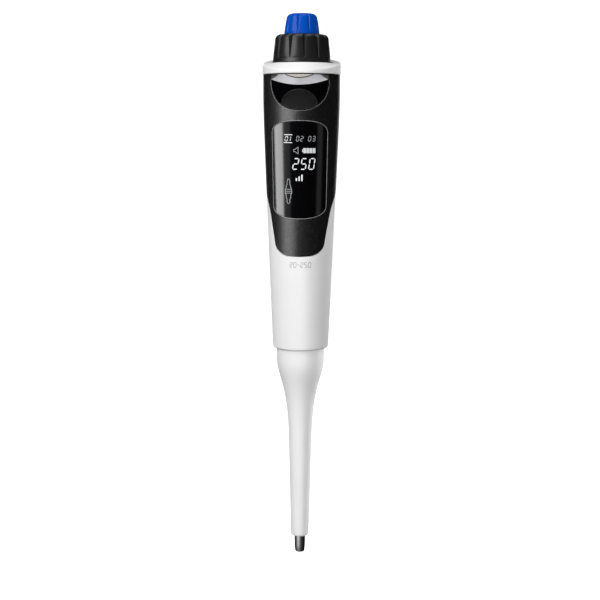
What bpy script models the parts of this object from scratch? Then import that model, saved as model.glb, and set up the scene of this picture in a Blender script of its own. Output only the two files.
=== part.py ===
"""Hand-held electronic pipette, modelled as it comes apart on a bench.

Sizes are in metres. Heights are measured above the nozzle's end, along the pipette's axis.
The front, with the window and the trigger, faces -Y. Everything hangs on the empty
pipette_axis, which puts the world's origin on the flat under the finger hook, where the
pipette rests when it is hung up.
"""

from math import cos, hypot, pi, radians, sin, sqrt, tan

import bmesh
import bpy
from mathutils import Matrix, Vector

# Clearances
GAP = 0.0003
SLIDE_GAP = 0.0004
DOOR_GAP = 0.0005
BORE_GAP = 0.00015
WAY_GAP = 0.0005
THROUGH = 0.0010

# Housing mouth and wall
HOUSING_BOTTOM = 0.1035
HALF_WIDTH_TOP = 0.01815
TAPER = 0.042
SHOULDER_DROP = 0.0073
SHOULDER_ROLL = 0.012
EXTRA_DEPTH = 0.0014
WALL = 0.0015
MOUTH_ROUND = 0.0011
CUT_FRONT = -2 * HALF_WIDTH_TOP
CUT_REAR = -HALF_WIDTH_TOP / 4

# Nozzle and barrel
NOZZLE_RADIUS = 0.0027
NOZZLE_TIP_RADIUS = 0.0023
NOZZLE_STRAIGHT = 0.0015
NOZZLE_TIP_LENGTH = 0.0016
NOZZLE_TIP_DRAFT = 0.00015
NOZZLE_ROUND = 0.0004
NOZZLE_ROUND_HEIGHT = 0.0006
NOZZLE_ROOT_EXTRA = 0.0004
AIR_HOLE = 0.0011
BARREL_LENGTH = 0.0355
BARREL_WALL = 0.00135
BARREL_CONE = 0.0040
BORE_CONE = 0.0015
FLANGE_DROP = 0.0035
FLANGE_HEIGHT = HOUSING_BOTTOM - FLANGE_DROP
FLANGE_RADIUS = 0.0067
FLANGE_THICKNESS = 0.0020
BARREL_BOTTOM = FLANGE_HEIGHT - BARREL_LENGTH
SEAL_HOUSING_RADIUS = 0.0059
SEAL_BORE = 0.0053
SEAL_DEPTH = 0.0030
SEAL_FLOOR = 0.0010
SEAL_CONE = 0.0020
RETAINER_THICKNESS = 0.0013
RETAINER_PROUD = 0.0001
NUT_RADIUS = 0.0080
NUT_DROP = 0.0030
NUT_RISE = 0.0080
NUT_TOP = FLANGE_HEIGHT + NUT_RISE

# Piston, coupling and mount
PISTON_RADIUS = 0.0030
PISTON_STROKE = 0.0126
PISTON_FLOOR_GAP = 0.0008
COUPLING_RADIUS = 0.0047
COUPLING_HEIGHT = 0.0065
COUPLING_STAND = 0.0030
COUPLING_HEADROOM = 0.0036
KEY_HALF_WIDTH = 0.0010
KEY_DEPTH = 0.0010
KEY_ROOT = 0.0008
KEY_INSET = 0.0012
KEY_SLOT_RISE = 0.0008
MOUNT_PLATE = 0.0030
MOUNT_BOTTOM = FLANGE_HEIGHT + FLANGE_THICKNESS + GAP
COUPLING_BOTTOM = MOUNT_BOTTOM + COUPLING_STAND
MOUNT_TOP = COUPLING_BOTTOM + COUPLING_HEIGHT + PISTON_STROKE + COUPLING_HEADROOM

# Motor and lead screw
MOTOR_RADIUS = 0.0088
MOTOR_HEIGHT = 0.0240
MOTOR_WALL = 0.0026
MOTOR_END_PLATE = 0.0020
MOTOR_BOTTOM = MOUNT_TOP + GAP
MOTOR_TOP = MOTOR_BOTTOM + MOTOR_HEIGHT
SCREW_RADIUS = 0.0015
SCREW_NECK_GAP = 0.0008
SCREW_WAY_GAP = 0.0010
SCREW_END = 0.0012
SCREW_HEADROOM = 0.0014
SHELF_THICKNESS = 0.0020
SCREW_TOP = MOTOR_TOP + SHELF_THICKNESS + SCREW_END

# Battery and the two shelves that hold it
FLOOR_THICKNESS = 0.0015
BATTERY_RADIUS = 0.0070
BATTERY_LENGTH = 0.0410
BATTERY_Y = 0.0032
BATTERY_ROUND = 0.0004
BATTERY_NUB_RADIUS = 0.0026
BATTERY_NUB_HEIGHT = 0.0010
CONTACT_RADIUS = 0.0040
CONTACT_THICKNESS = 0.0004
CONTACT_ROOM = CONTACT_THICKNESS + 2 * GAP
BATTERY_SHELF = SCREW_TOP + PISTON_STROKE + SCREW_HEADROOM
TOP_SHELF = BATTERY_SHELF + FLOOR_THICKNESS + BATTERY_LENGTH + 2 * CONTACT_ROOM

# Ejector arm, above the top shelf by its travel
EJECTOR_TRAVEL = 0.0060
ARM_HEIGHT = TOP_SHELF + FLOOR_THICKNESS + EJECTOR_TRAVEL + DOOR_GAP
ARM_THICKNESS = 0.0024
ARM_STEM_END = 0.0042
ARM_ROD_END = 0.0022
ARM_HEADROOM = 0.0016

# Wheel hub, encoder and the housing's top, above the arm
HUB_RADIUS = 0.0060
HUB_STEP = 0.0010
HUB_FLANGE = 0.0010
HUB_BOTTOM = ARM_HEIGHT + ARM_THICKNESS + ARM_HEADROOM
ENCODER_RISE = 0.0015
ENCODER_WIDTH = 0.0026
ENCODER_THICKNESS = 0.0008
ENCODER_HOLE_GAP = 0.0008
HEAD_ROOM = 0.0073
HOUSING_TOP = HUB_BOTTOM + HEAD_ROOM

# Seam between the black fascia and the white rear half
SEAM_CHIN = 0.0174
SEAM_ANGLE_TOP = radians(112)
SEAM_RISE = 2.5
SEAM_ROUND = 0.45
SEAM_FIRST = 0.062
SEAM_CROWDING = 2.6

# Window
WINDOW_DROP = 0.0209
WINDOW_HEIGHT = 0.0458
WINDOW_TOP = HOUSING_TOP - WINDOW_DROP
WINDOW_BOTTOM = WINDOW_TOP - WINDOW_HEIGHT
WINDOW_HALF_WIDTH = 0.0129
WINDOW_FOOT_HALF_WIDTH = 0.0123
WINDOW_TOP_RISE = 0.0031
WINDOW_FOOT_RISE = 0.0048
WINDOW_CORNER = 0.0022
WINDOW_SQUARENESS = 0.77
WINDOW_THICKNESS = 0.0014
WINDOW_STOCK = 0.0040
SEAM_BOTTOM = WINDOW_BOTTOM - SEAM_CHIN

# Top cap
CAP_OVERHANG = 0.00035
CAP_RISE = 0.0057
CAP_HEIGHT_ON_AXIS = HOUSING_TOP + CAP_RISE
CAP_TILT = radians(10.5)
CAP_ROUND = 0.0015
CAP_SPIGOT = 0.0024
CAP_SKIN = 0.0012
CAP_FLOOR = 0.0023
CAP_BEVEL = 0.0002
PLINTH_SINK = 0.0003
PLINTH_HEIGHT = CAP_HEIGHT_ON_AXIS - PLINTH_SINK
BEARING_WALL = 0.0005
BOSS_WALL = 0.0020
BOSS_DEPTH = 0.0017
NOTCH_PLAY = 0.0010
NOTCH_REAR = -0.0100

# Setting wheel
WHEEL_BOTTOM = PLINTH_HEIGHT + GAP
WHEEL_HEIGHT = 0.0130
WHEEL_RADIUS = 0.01388
WHEEL_TOP_RADIUS = 0.0118
WHEEL_BORE = 0.0090
WHEEL_LOBES = 12
WHEEL_GROOVE = 0.0006
WHEEL_SHOULDER = 0.0018
BORE_BEVEL = 0.0005
# Share of the height, share of the groove, and how far the edge has rounded inwards
WHEEL_PROFILE = (
    (0.0, 0.0, 0.0),
    (0.14, 0.0, 0.0),
    (0.20, 1.0, 0.0),
    (0.86, 1.0, 0.0),
    (0.955, 1.0, 0.0005),
    (1.0, 1.0, 0.0014),
)

# Ejector button and stem
BUTTON_PROUD = 0.0098
BUTTON_TOP = WHEEL_BOTTOM + WHEEL_HEIGHT + BUTTON_PROUD
BUTTON_RADIUS = 0.0083
BUTTON_TOP_RADIUS = 0.00733
BUTTON_LOBES = 9
BUTTON_GROOVE = 0.00035
BUTTON_ROOF = 0.0058
# Share of the taper, how far the edge has rounded inwards, share of the groove, depth below the top
BUTTON_PROFILE = (
    (0.0, 0.0, 0.0, 0.0095),
    (0.1, 0.0, 1.0, 0.0085),
    (1.0, 0.0, 1.0, 0.0030),
    (1.0, 0.00075, 1.0, 0.0012),
    (1.0, 0.0019, 0.5, 0.0003),
    (1.0, 0.0034, 0.0, 0.0),
)
STEM_RADIUS = 0.0028

# Ejector rod, spring and yoke
ROD_RADIUS = 0.0009
ROD_OFFSET = 0.0100
ROD_ANGLE = radians(146)
GUIDE_RADIUS = 0.0019
GUIDE_LIP = 0.0004
COLLAR_RADIUS = 0.0023
COLLAR_THICKNESS = 0.0018
SPRING_RADIUS = 0.0019
SPRING_WIRE = 0.00032
SPRING_TURNS = 5
YOKE_FLANGE = 0.0020
YOKE_SPIGOT = 0.0070

# Ejector sleeve
SLEEVE_OVERLAP = 0.0085
SLEEVE_TOP = HOUSING_BOTTOM + SLEEVE_OVERLAP
SLEEVE_TOP_RADIUS = 0.0117
SLEEVE_BOTTOM = 0.0085
SLEEVE_BOTTOM_RADIUS = 0.0045
SLEEVE_WALL = 0.0010
SLEEVE_ROUND = 0.0016
SLEEVE_LIP = 0.0034
SLEEVE_THROAT = 0.0040
SLEEVE_DRAFT = 0.0001
SWEEP_DROP = 0.0035
SWEEP_LENGTH = 0.0440
SWEEP_FOOT_RADIUS = 0.0056
SWEEP_FIRST = 0.09
SWEEP_WAIST = 2.6
SWEEP_POWER = 2.5

# Frame and its spine
SPINE_Y = -0.0055
SPINE_THICKNESS = 0.0015
SPINE_HALF_WIDTH = 0.0100
SPINE_NARROWING = 0.0015
SPINE_RISE = 0.0110
SPINE_TOP = TOP_SHELF + SPINE_RISE
SPINE_FRONT = SPINE_Y - SPINE_THICKNESS / 2
WELD = 0.0008
LAP = 0.0002

# Board, display and buzzer
BOARD_THICKNESS = 0.0012
BOARD_HALF_WIDTH = 0.0098
BOARD_LENGTH = 0.0557
BOARD_BOTTOM = TOP_SHELF - GAP - BOARD_LENGTH
BOLT_INSET_X = 0.0026
BOLT_INSET_Z = 0.0035
DISPLAY_HALF_WIDTH = 0.0088
DISPLAY_DEPTH = 0.0034
DISPLAY_MARGIN = 0.0020
DISPLAY_ROUND = 0.0004
BUZZER_RADIUS = 0.0036
BUZZER_HEIGHT = 0.0020

# Trigger
TRIGGER_DROP = 0.0023
TRIGGER_HEIGHT = 0.0148
TRIGGER_TOP = HOUSING_TOP - TRIGGER_DROP
TRIGGER_BOTTOM = TRIGGER_TOP - TRIGGER_HEIGHT
TRIGGER_HALF_WIDTH = 0.0135
TRIGGER_SQUARENESS = 0.86
TRIGGER_PROUD_TOP = 0.0024
TRIGGER_PROUD_FOOT = 0.0006
TRIGGER_SWELL = 1.4
TRIGGER_THICKNESS = 0.0020
TRIGGER_REACH = 0.0183
TRIGGER_STOCK = 0.0060
CRESCENT_THICKNESS = 0.0009
CRESCENT_DIP = 0.0027
CRESCENT_PLAY = 0.00013
UNDER_CAP = 0.0002

# Trigger pin, lugs and ears
PIVOT_DROP = 0.0038
PIVOT_HEIGHT = HOUSING_TOP - PIVOT_DROP
PIVOT_Y = -0.0150
PIN_RADIUS = 0.0008
PIN_PROUD = 0.0002
LUG_INNER = 0.0026
LUG_THICKNESS = 0.0014
LUG_RADIUS = 0.0014
LUG_SETBACK = 0.0021
LUG_DEPTH = 0.0025
LUG_FRONT = PIVOT_Y + LUG_SETBACK
LUG_REAR = LUG_FRONT + LUG_DEPTH
LUG_SHOULDER = 0.0035
LUG_WAIST = 0.0050
EAR_THICKNESS = 0.0014
EAR_RADIUS = 0.0016
EAR_LENGTH = 0.0022
EAR_SIDE_GAP = 0.0006

# Trigger switch and plunger
SWITCH_RISE = 0.0038
SWITCH_HEIGHT = TRIGGER_BOTTOM + SWITCH_RISE
SWITCH_HALF_WIDTH = 0.0024
SWITCH_HALF_HEIGHT = 0.0030
SWITCH_DEPTH = 0.0033
SWITCH_BACK = 0.0006
SWITCH_TRAVEL = 0.0009
PLUNGER_RADIUS = 0.0011
PLUNGER_STAND = 0.0020
POST_RADIUS = 0.0014
POST_FRONT = -0.0180

# Small screws
BOLT_RADIUS = 0.0008
BOLT_LENGTH = 0.0060
BOLT_HEAD_RADIUS = 0.0015
BOLT_HEAD = 0.0011

# Finger hook
HOOK_DROP = 0.0178
HOOK_SEAT = HOUSING_TOP - HOOK_DROP
HOOK_HALF_WIDTH = 0.0080
HOOK_THICKNESS = 0.0085
HOOK_FALL = 0.0115
HOOK_TOP = HOOK_SEAT + HOOK_THICKNESS
HOOK_TIP = HOOK_SEAT - HOOK_FALL
HOOK_REACH = 0.0395
HOOK_ROOT = 0.0140
HOOK_ARCH_Y = 0.0180
HOOK_TIP_THICKNESS = 0.0040
HOOK_TIP_STRETCH = 1.2
HOOK_FLAT_START = 0.0235
HOOK_FLAT_END = 0.0295
HOOK_SEAT_Y = (HOOK_FLAT_START + HOOK_FLAT_END) / 2
HOOK_FILLET = 0.0045
HOOK_ROUND = 0.0013

# Charging contacts
CHARGE_DROP = 0.0055
CHARGE_HEIGHT = BATTERY_SHELF - CHARGE_DROP
CHARGE_SPACING = 0.0080
CHARGE_RADIUS = 0.0020
CHARGE_LENGTH = 0.0035

parts = bpy.data.collections.new("electronic_pipette")
cutters = bpy.data.collections.new("cutters")


def clear_scene():
    for thing in list(bpy.data.objects):
        bpy.data.objects.remove(thing, do_unlink=True)


def material(name, colour, roughness, metallic=0.0):
    made = bpy.data.materials.new(name)
    made.use_nodes = True
    shader = made.node_tree.nodes["Principled BSDF"]
    shader.inputs["Base Color"].default_value = (*colour, 1.0)
    shader.inputs["Roughness"].default_value = roughness
    shader.inputs["Metallic"].default_value = metallic
    return made


def half_width(height):
    """Half the housing's outer width: a straight taper that rolls upright at the shoulder."""
    below = max(0.0, HOUSING_TOP - SHOULDER_DROP - height)
    return HALF_WIDTH_TOP - TAPER * (hypot(below, SHOULDER_ROLL) - SHOULDER_ROLL)


def half_depth(height):
    """Half the housing's outer depth: round at the mouth, a little deeper than wide on top."""
    share = (height - HOUSING_BOTTOM) / (HOUSING_TOP - HOUSING_BOTTOM)
    return half_width(height) + EXTRA_DEPTH * max(0.0, min(1.0, share))


def front_y(height, x, offset=0.0):
    """The front surface's y at a height and an x, moved outwards by the offset."""
    across = half_width(height) + offset
    return -(half_depth(height) + offset) * sqrt(max(0.0, 1.0 - (x / across) ** 2))


def oval(across, deep, height, count, lean=0.0):
    """A ring of points; lean lifts it towards the rear by that slope."""
    ring = []
    for step in range(count):
        turn = 2 * pi * step / count
        y = deep * sin(turn)
        ring.append((across * cos(turn), y, height + lean * y))
    return ring


def between(start, end, count):
    return [start + (end - start) * step / (count - 1) for step in range(count)]


def arc(centre, across, high, start, end, count):
    """Points on an ellipse about the centre, from one angle to another, in degrees."""
    turns = between(radians(start), radians(end), count)
    return [(centre[0] + across * cos(turn), centre[1] + high * sin(turn)) for turn in turns]


def place(mesh_data, name, finish, parent=None, guide=False):
    made = bpy.data.objects.new(name, mesh_data)
    if guide:
        cutters.objects.link(made)
        made.hide_render = True
        made.display_type = "WIRE"
    else:
        parts.objects.link(made)
        mesh_data.materials.append(finish)
    holder = parent or axis_empty
    made.parent = holder
    made.matrix_parent_inverse = holder_inverse(holder)
    return made


def holder_inverse(holder):
    """A child keeps heights above the nozzle's end, whichever empty holds it."""
    return Matrix.Translation(-holder.location) if holder is not axis_empty else Matrix()


def finish_mesh(work, name):
    bmesh.ops.recalc_face_normals(work, faces=work.faces)
    data = bpy.data.meshes.new(name)
    work.to_mesh(data)
    work.free()
    data.shade_smooth()
    data.set_sharp_from_angle(angle=radians(32))
    return data


def lofted(name, rings, finish, loop=False, **options):
    """A skin through rings of equal count: closed into a loop, or with flat end faces."""
    work = bmesh.new()
    rows = [[work.verts.new(point) for point in ring] for ring in rings]
    pairs = list(zip(rows, rows[1:]))
    if loop:
        pairs.append((rows[-1], rows[0]))
    for lower, upper in pairs:
        for step in range(len(lower)):
            after = (step + 1) % len(lower)
            work.faces.new((lower[step], lower[after], upper[after], upper[step]))
    if not loop:
        work.faces.new(rows[0])
        work.faces.new(rows[-1])
    return place(finish_mesh(work, name), name, finish, **options)


def turned(name, profile, finish, steps=16, at=(0.0, 0.0), **options):
    """A closed outline of (radius, height), down the outer side and up the inner, turned about +Z."""
    points = [(radius, 0.0, height) for radius, height in profile]
    edges = [(step, step + 1) for step in range(len(points) - 1)]
    if profile[0][0] > 0.0:
        edges.append((len(points) - 1, 0))
    data = bpy.data.meshes.new(name)
    data.from_pydata(points, edges, [])
    made = place(data, name, finish, **options)
    made.location = (at[0], at[1], 0.0)
    screw = made.modifiers.new("turn", "SCREW")
    screw.steps = steps
    screw.render_steps = steps
    screw.use_merge_vertices = True
    screw.merge_threshold = 0.00001
    screw.use_smooth_shade = True
    return made


def ring(name, outer, inner, bottom, top, finish, **options):
    profile = [(outer, top), (outer, bottom), (inner, bottom), (inner, top)]
    return turned(name, profile, finish, **options)


def disc(name, outer, bottom, top, finish, **options):
    profile = [(0.0, top), (outer, top), (outer, bottom), (0.0, bottom)]
    return turned(name, profile, finish, **options)


def prism(name, outline, start, end, finish, along="Y", **options):
    """A flat outline pushed from start to end along X, Y or Z."""
    order = {"X": (2, 0, 1), "Y": (0, 2, 1), "Z": (0, 1, 2)}[along]
    work = bmesh.new()
    low = []
    for first, second in outline:
        flat = (first, second, start)
        low.append(work.verts.new([flat[index] for index in order]))
    face = work.faces.new(low)
    grown = bmesh.ops.extrude_face_region(work, geom=[face])
    shift = Vector([(0.0, 0.0, end - start)[index] for index in order])
    tops = [item for item in grown["geom"] if isinstance(item, bmesh.types.BMVert)]
    bmesh.ops.translate(work, verts=tops, vec=shift)
    return place(finish_mesh(work, name), name, finish, **options)


def box(name, low, high, finish, **options):
    work = bmesh.new()
    bmesh.ops.create_cube(work, size=1.0)
    size = [top - bottom for bottom, top in zip(low, high)]
    middle = [(top + bottom) / 2 for bottom, top in zip(low, high)]
    bmesh.ops.scale(work, vec=size, verts=work.verts)
    bmesh.ops.translate(work, vec=middle, verts=work.verts)
    return place(finish_mesh(work, name), name, finish, **options)


def rod_along_y(name, radius, x, height, front, rear, finish, steps=16, **options):
    """A round bar along Y, between a front and a rear end."""
    outline = arc((x, height), radius, radius, 0, 360 * (steps - 1) / steps, steps)
    return prism(name, outline, front, rear, finish, along="Y", **options)


def combine(target, other, operation):
    modifier = target.modifiers.new(operation.lower(), "BOOLEAN")
    modifier.operation = operation
    modifier.solver = "EXACT"
    modifier.object = other


def cut(target, *tools):
    for tool in tools:
        combine(target, tool, "DIFFERENCE")


def weld_on(target, *tools):
    for tool in tools:
        combine(target, tool, "UNION")


def soften(target, width, segments=2, angle=40):
    bevel = target.modifiers.new("soften", "BEVEL")
    bevel.width = width
    bevel.segments = segments
    bevel.limit_method = "ANGLE"
    bevel.angle_limit = radians(angle)


def coil(name, bottom, top, at, finish):
    """A compression spring: a helix of wire between two heights, its ends filled."""
    per_turn = 8
    count = SPRING_TURNS * per_turn + 1
    low = bottom + SPRING_WIRE
    high = top - SPRING_WIRE
    path = bpy.data.curves.new(name, "CURVE")
    path.dimensions = "3D"
    path.bevel_depth = SPRING_WIRE
    path.bevel_resolution = 1
    path.use_fill_caps = True
    spline = path.splines.new("POLY")
    spline.points.add(count - 1)
    for step, point in enumerate(spline.points):
        turn = 2 * pi * step / per_turn
        height = low + (high - low) * step / (count - 1)
        x = at[0] + SPRING_RADIUS * cos(turn)
        y = at[1] + SPRING_RADIUS * sin(turn)
        point.co = (x, y, height, 1.0)
    return place(path, name, finish)


def housing_tube(name, bottom, top, inner_offset, finish):
    """A length of the housing's wall from its outer face to an inner offset."""
    rings = []
    for offset, first, last in ((0.0, bottom, top), (inner_offset, top, bottom)):
        for height in between(first, last, 5):
            rings.append(oval(half_width(height) + offset, half_depth(height) + offset, height, 40))
    return lofted(name, rings, finish, loop=True)


def housing_core(name, bottom, top, offset):
    """The housing's outer form as a solid, grown or shrunk, to cut other pieces with."""
    rings = []
    for height in between(bottom, top, 8):
        across = half_width(height) + offset
        rings.append(oval(across, half_depth(height) + offset, height, 48))
    return lofted(name, rings, None, guide=True)


def seam_angle(height):
    """Half the fascia's reach round the housing: nothing at the seam's foot, wide at the top."""
    share = (height - SEAM_BOTTOM) / (HOUSING_TOP - SEAM_BOTTOM)
    if share <= 0.0:
        return 0.0
    return SEAM_ANGLE_TOP * (1 - (1 - min(share, 1.0)) ** SEAM_RISE) ** SEAM_ROUND


def wall_section(height, start, end, facets, inset=0.0):
    """The wall cut level at a height: along the outer side from start to end, then back inside."""
    outer, inner = facets
    points = []
    for offset, count, first, last in ((-inset, outer + 1, start, end), (-WALL, inner + 1, end, start)):
        across = half_width(height) + offset
        deep = half_depth(height) + offset
        for turn in between(first, last, count):
            points.append((across * sin(turn), -deep * cos(turn), height))
    return points


def walled(name, sections, facets, closed_until, finish):
    """A wall through level sections; below closed_until a section's two ends meet and are one."""
    outer, inner = facets
    work = bmesh.new()
    rows = [[work.verts.new(point) for point in section] for section in sections]
    count = len(rows[0])
    for index, (lower, upper) in enumerate(zip(rows, rows[1:])):
        for step in range(count):
            joint = step in (outer, count - 1)
            if joint and index + 1 < closed_until:
                continue
            after = (step + 1) % count
            work.faces.new((lower[step], lower[after], upper[after], upper[step]))
    for row in (rows[0], rows[-1]):
        for step in range(outer):
            inner_step = count - 1 - round(step * inner / outer)
            inner_next = count - 1 - round((step + 1) * inner / outer)
            corners = [row[step], row[step + 1], row[inner_next]]
            if inner_next != inner_step:
                corners.append(row[inner_step])
            work.faces.new(corners)
    bmesh.ops.remove_doubles(work, verts=work.verts, dist=0.000001)
    return place(finish_mesh(work, name), name, finish)


def window_outline(inset):
    """The window from the front: an arched top, sides that close in, a foot with round corners."""
    half_top = WINDOW_HALF_WIDTH - inset
    half_foot = WINDOW_FOOT_HALF_WIDTH - inset
    side_top = WINDOW_TOP - WINDOW_TOP_RISE - inset
    side_foot = WINDOW_BOTTOM + WINDOW_FOOT_RISE + inset
    outline = []
    for x in between(half_top - WINDOW_CORNER, -half_top + WINDOW_CORNER, 11):
        outline.append((x, side_top + WINDOW_TOP_RISE * (1 - (x / half_top) ** 2)))
    outline.append((-half_top, side_top - WINDOW_CORNER / 2))
    for turn in between(-pi / 2, pi / 2, 15):
        side = 1 if turn > 0 else -1
        x = side * half_foot * abs(sin(turn)) ** WINDOW_SQUARENESS
        down = max(0.0, cos(turn)) ** WINDOW_SQUARENESS
        outline.append((x, side_foot - WINDOW_FOOT_RISE * down))
    outline.append((half_top, side_top - WINDOW_CORNER / 2))
    return outline


def trigger_outline(inset):
    """The trigger from the front: straight-sided at the top, closing to a round foot."""
    half = TRIGGER_HALF_WIDTH - inset
    deep = TRIGGER_TOP - TRIGGER_BOTTOM - inset
    outline = [(half, HOUSING_TOP + THROUGH), (-half, HOUSING_TOP + THROUGH)]
    for turn in between(pi, 2 * pi, 23):
        across = abs(cos(turn)) ** TRIGGER_SQUARENESS
        down = abs(sin(turn)) ** TRIGGER_SQUARENESS
        side = 1 if cos(turn) > 0 else -1
        outline.append((side * half * across, TRIGGER_TOP - deep * down))
    return outline


def lobed(radius, groove, height, lobes, per_lobe):
    """A ring with shallow grooves: a cosine wave, sharpened so the lobes stay broad."""
    points = []
    count = lobes * per_lobe
    for step in range(count):
        turn = 2 * pi * step / count
        wave = (0.5 + 0.5 * cos(turn * lobes)) ** 2
        reach = radius - groove * wave
        points.append((reach * cos(turn), reach * sin(turn), height))
    return points


def seam_heights():
    """Heights above the seam's foot, close together where the seam turns quickly."""
    span = HOUSING_TOP - SEAM_BOTTOM
    shares = between(SEAM_FIRST, 1.0, 10)
    return [SEAM_BOTTOM + span * share**SEAM_CROWDING for share in shares]


def front_cutter(name, outline):
    """An outline seen from the front, pushed through the front wall alone."""
    return prism(name, outline, CUT_FRONT, CUT_REAR, None, guide=True)


def through_hole(name, radius, bottom, top, steps=16, at=(0.0, 0.0)):
    """A round cutter along Z that runs past both faces of what it cuts."""
    low = bottom - THROUGH
    return disc(name, radius, low, top + THROUGH, None, steps=steps, at=at, guide=True)


def make_housing():
    window_hole = front_cutter("window_hole", window_outline(0.0))
    trigger_hole = front_cutter("trigger_hole", trigger_outline(0.0))

    facets = (32, 24)
    sections = []
    for turn in between(0.0, pi / 2, 3):
        inset = MOUTH_ROUND * (1 - sin(turn))
        height = HOUSING_BOTTOM + MOUTH_ROUND * (1 - cos(turn))
        sections.append(wall_section(height, 0.0, 2 * pi, facets, inset))
    foot = SEAM_BOTTOM - GAP
    for height in (HOUSING_BOTTOM + 3 * MOUTH_ROUND, foot):
        sections.append(wall_section(height, 0.0, 2 * pi, facets))
    closed = len(sections)
    for height in seam_heights():
        angle = seam_angle(height) + GAP / half_width(height)
        sections.append(wall_section(height, angle, 2 * pi - angle, facets))
    rear = walled("rear_housing", sections, facets, closed, white)
    for side in (-1, 1):
        hole = rod_along_y(
            f"charge_hole_{side}",
            CHARGE_RADIUS + GAP,
            side * CHARGE_SPACING / 2,
            CHARGE_HEIGHT,
            -CUT_REAR,
            -CUT_FRONT,
            None,
            guide=True,
        )
        cut(rear, hole)

    facets = (24, 18)
    sections = []
    for height in seam_heights():
        angle = seam_angle(height)
        sections.append(wall_section(height, -angle, angle, facets))
    fascia = walled("front_fascia", sections, facets, 0, black)
    cut(fascia, window_hole, trigger_hole)

    bottom = WINDOW_BOTTOM - WINDOW_STOCK
    top = WINDOW_TOP + WINDOW_STOCK
    lens = housing_tube("display_window", bottom, top, -WINDOW_THICKNESS, lens_black)
    inside = front_cutter("window_shape", window_outline(GAP))
    combine(lens, inside, "INTERSECT")


def make_cap():
    """A cap whose top leans forward, with a level plinth for the wheel let into it."""
    slope = tan(CAP_TILT)
    across = half_width(HOUSING_TOP) + CAP_OVERHANG
    deep = half_depth(HOUSING_TOP) + CAP_OVERHANG
    skirt = HOUSING_TOP + GAP
    spigot_across = half_width(HOUSING_TOP) - WALL - GAP
    spigot_deep = half_depth(HOUSING_TOP) - WALL - GAP
    spigot_bottom = skirt - CAP_SPIGOT
    recess = WHEEL_RADIUS + SLIDE_GAP
    bore = HUB_RADIUS + BEARING_WALL + 2 * GAP
    boss = bore + BOSS_WALL
    under = PLINTH_HEIGHT - CAP_FLOOR
    boss_foot = under - BOSS_DEPTH
    count = 32
    rings = [
        oval(spigot_across, spigot_deep, spigot_bottom, count),
        oval(spigot_across, spigot_deep, skirt, count),
        oval(across, deep, skirt, count),
    ]
    for turn in between(0.0, pi / 2, 4):
        inset = CAP_ROUND * (1 - cos(turn))
        height = CAP_HEIGHT_ON_AXIS - CAP_ROUND * (1 - sin(turn))
        rings.append(oval(across - inset, deep - inset, height, count, lean=slope))
    rings.append(oval(recess + CAP_BEVEL, recess + CAP_BEVEL, CAP_HEIGHT_ON_AXIS, count, lean=slope))
    rings.append(oval(recess, recess, PLINTH_HEIGHT, count))
    rings.append(oval(bore, bore, PLINTH_HEIGHT, count))
    rings.append(oval(bore, bore, boss_foot, count))
    rings.append(oval(boss, boss, boss_foot, count))
    rings.append(oval(boss, boss, under, count))
    lowered = []
    for x, y, height in oval(spigot_across - CAP_SKIN, spigot_deep - CAP_SKIN, under, count):
        lowered.append((x, y, min(height, CAP_HEIGHT_ON_AXIS + slope * y - CAP_FLOOR)))
    rings.append(lowered)
    rings.append(oval(spigot_across - CAP_SKIN, spigot_deep - CAP_SKIN, spigot_bottom, count))
    cap = lofted("top_cap", rings, white, loop=True)
    outline = trigger_outline(-NOTCH_PLAY)
    notch = prism("cap_notch", outline, CUT_FRONT, NOTCH_REAR, None, guide=True)
    low = spigot_bottom - THROUGH
    low_notch = housing_core("cap_notch_limit", low, skirt + CAP_BEVEL, -WALL / 2)
    combine(notch, low_notch, "INTERSECT")
    cut(cap, notch)
    ring("wheel_bearing", bore - GAP, HUB_RADIUS + GAP, boss_foot, PLINTH_HEIGHT, bronze)


def make_wheel():
    """The wheel: a plain skirt, broad lobes above it, a bore for the button and a shoulder."""
    per_lobe = 4
    top = WHEEL_BOTTOM + WHEEL_HEIGHT
    shoulder = WHEEL_BOTTOM + WHEEL_SHOULDER
    hub_hole = HUB_RADIUS + HUB_STEP
    spread = WHEEL_RADIUS - WHEEL_TOP_RADIUS

    def outside(share, groove_share, inwards):
        radius = WHEEL_RADIUS - spread * share - inwards
        height = WHEEL_BOTTOM + WHEEL_HEIGHT * share
        return lobed(radius, WHEEL_GROOVE * groove_share, height, WHEEL_LOBES, per_lobe)

    def inside(radius, height):
        return lobed(radius, 0.0, height, WHEEL_LOBES, per_lobe)

    rings = [outside(*station) for station in WHEEL_PROFILE]
    rings += [
        inside(WHEEL_BORE + BORE_BEVEL, top),
        inside(WHEEL_BORE, top - BORE_BEVEL),
        inside(WHEEL_BORE, shoulder),
        inside(hub_hole, shoulder),
        inside(hub_hole, WHEEL_BOTTOM),
    ]
    lofted("setting_wheel", rings, black, loop=True)

    bore = STEM_RADIUS + SLIDE_GAP
    neck = hub_hole - GAP
    flange = WHEEL_BORE - SLIDE_GAP
    flange_bottom = shoulder + GAP
    profile = [
        (flange, flange_bottom + HUB_FLANGE),
        (flange, flange_bottom),
        (neck, flange_bottom),
        (neck, WHEEL_BOTTOM + GAP),
        (HUB_RADIUS, WHEEL_BOTTOM),
        (HUB_RADIUS, HUB_BOTTOM),
        (bore, HUB_BOTTOM),
        (bore, flange_bottom + HUB_FLANGE),
    ]
    turned("wheel_hub", profile, steel)
    low = HUB_BOTTOM + GAP + BOARD_THICKNESS + ENCODER_RISE
    high = low + ENCODER_THICKNESS
    ring("encoder_disc", HUB_RADIUS + ENCODER_WIDTH, HUB_RADIUS + GAP, low, high, steel)
    return flange_bottom + HUB_FLANGE


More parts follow.
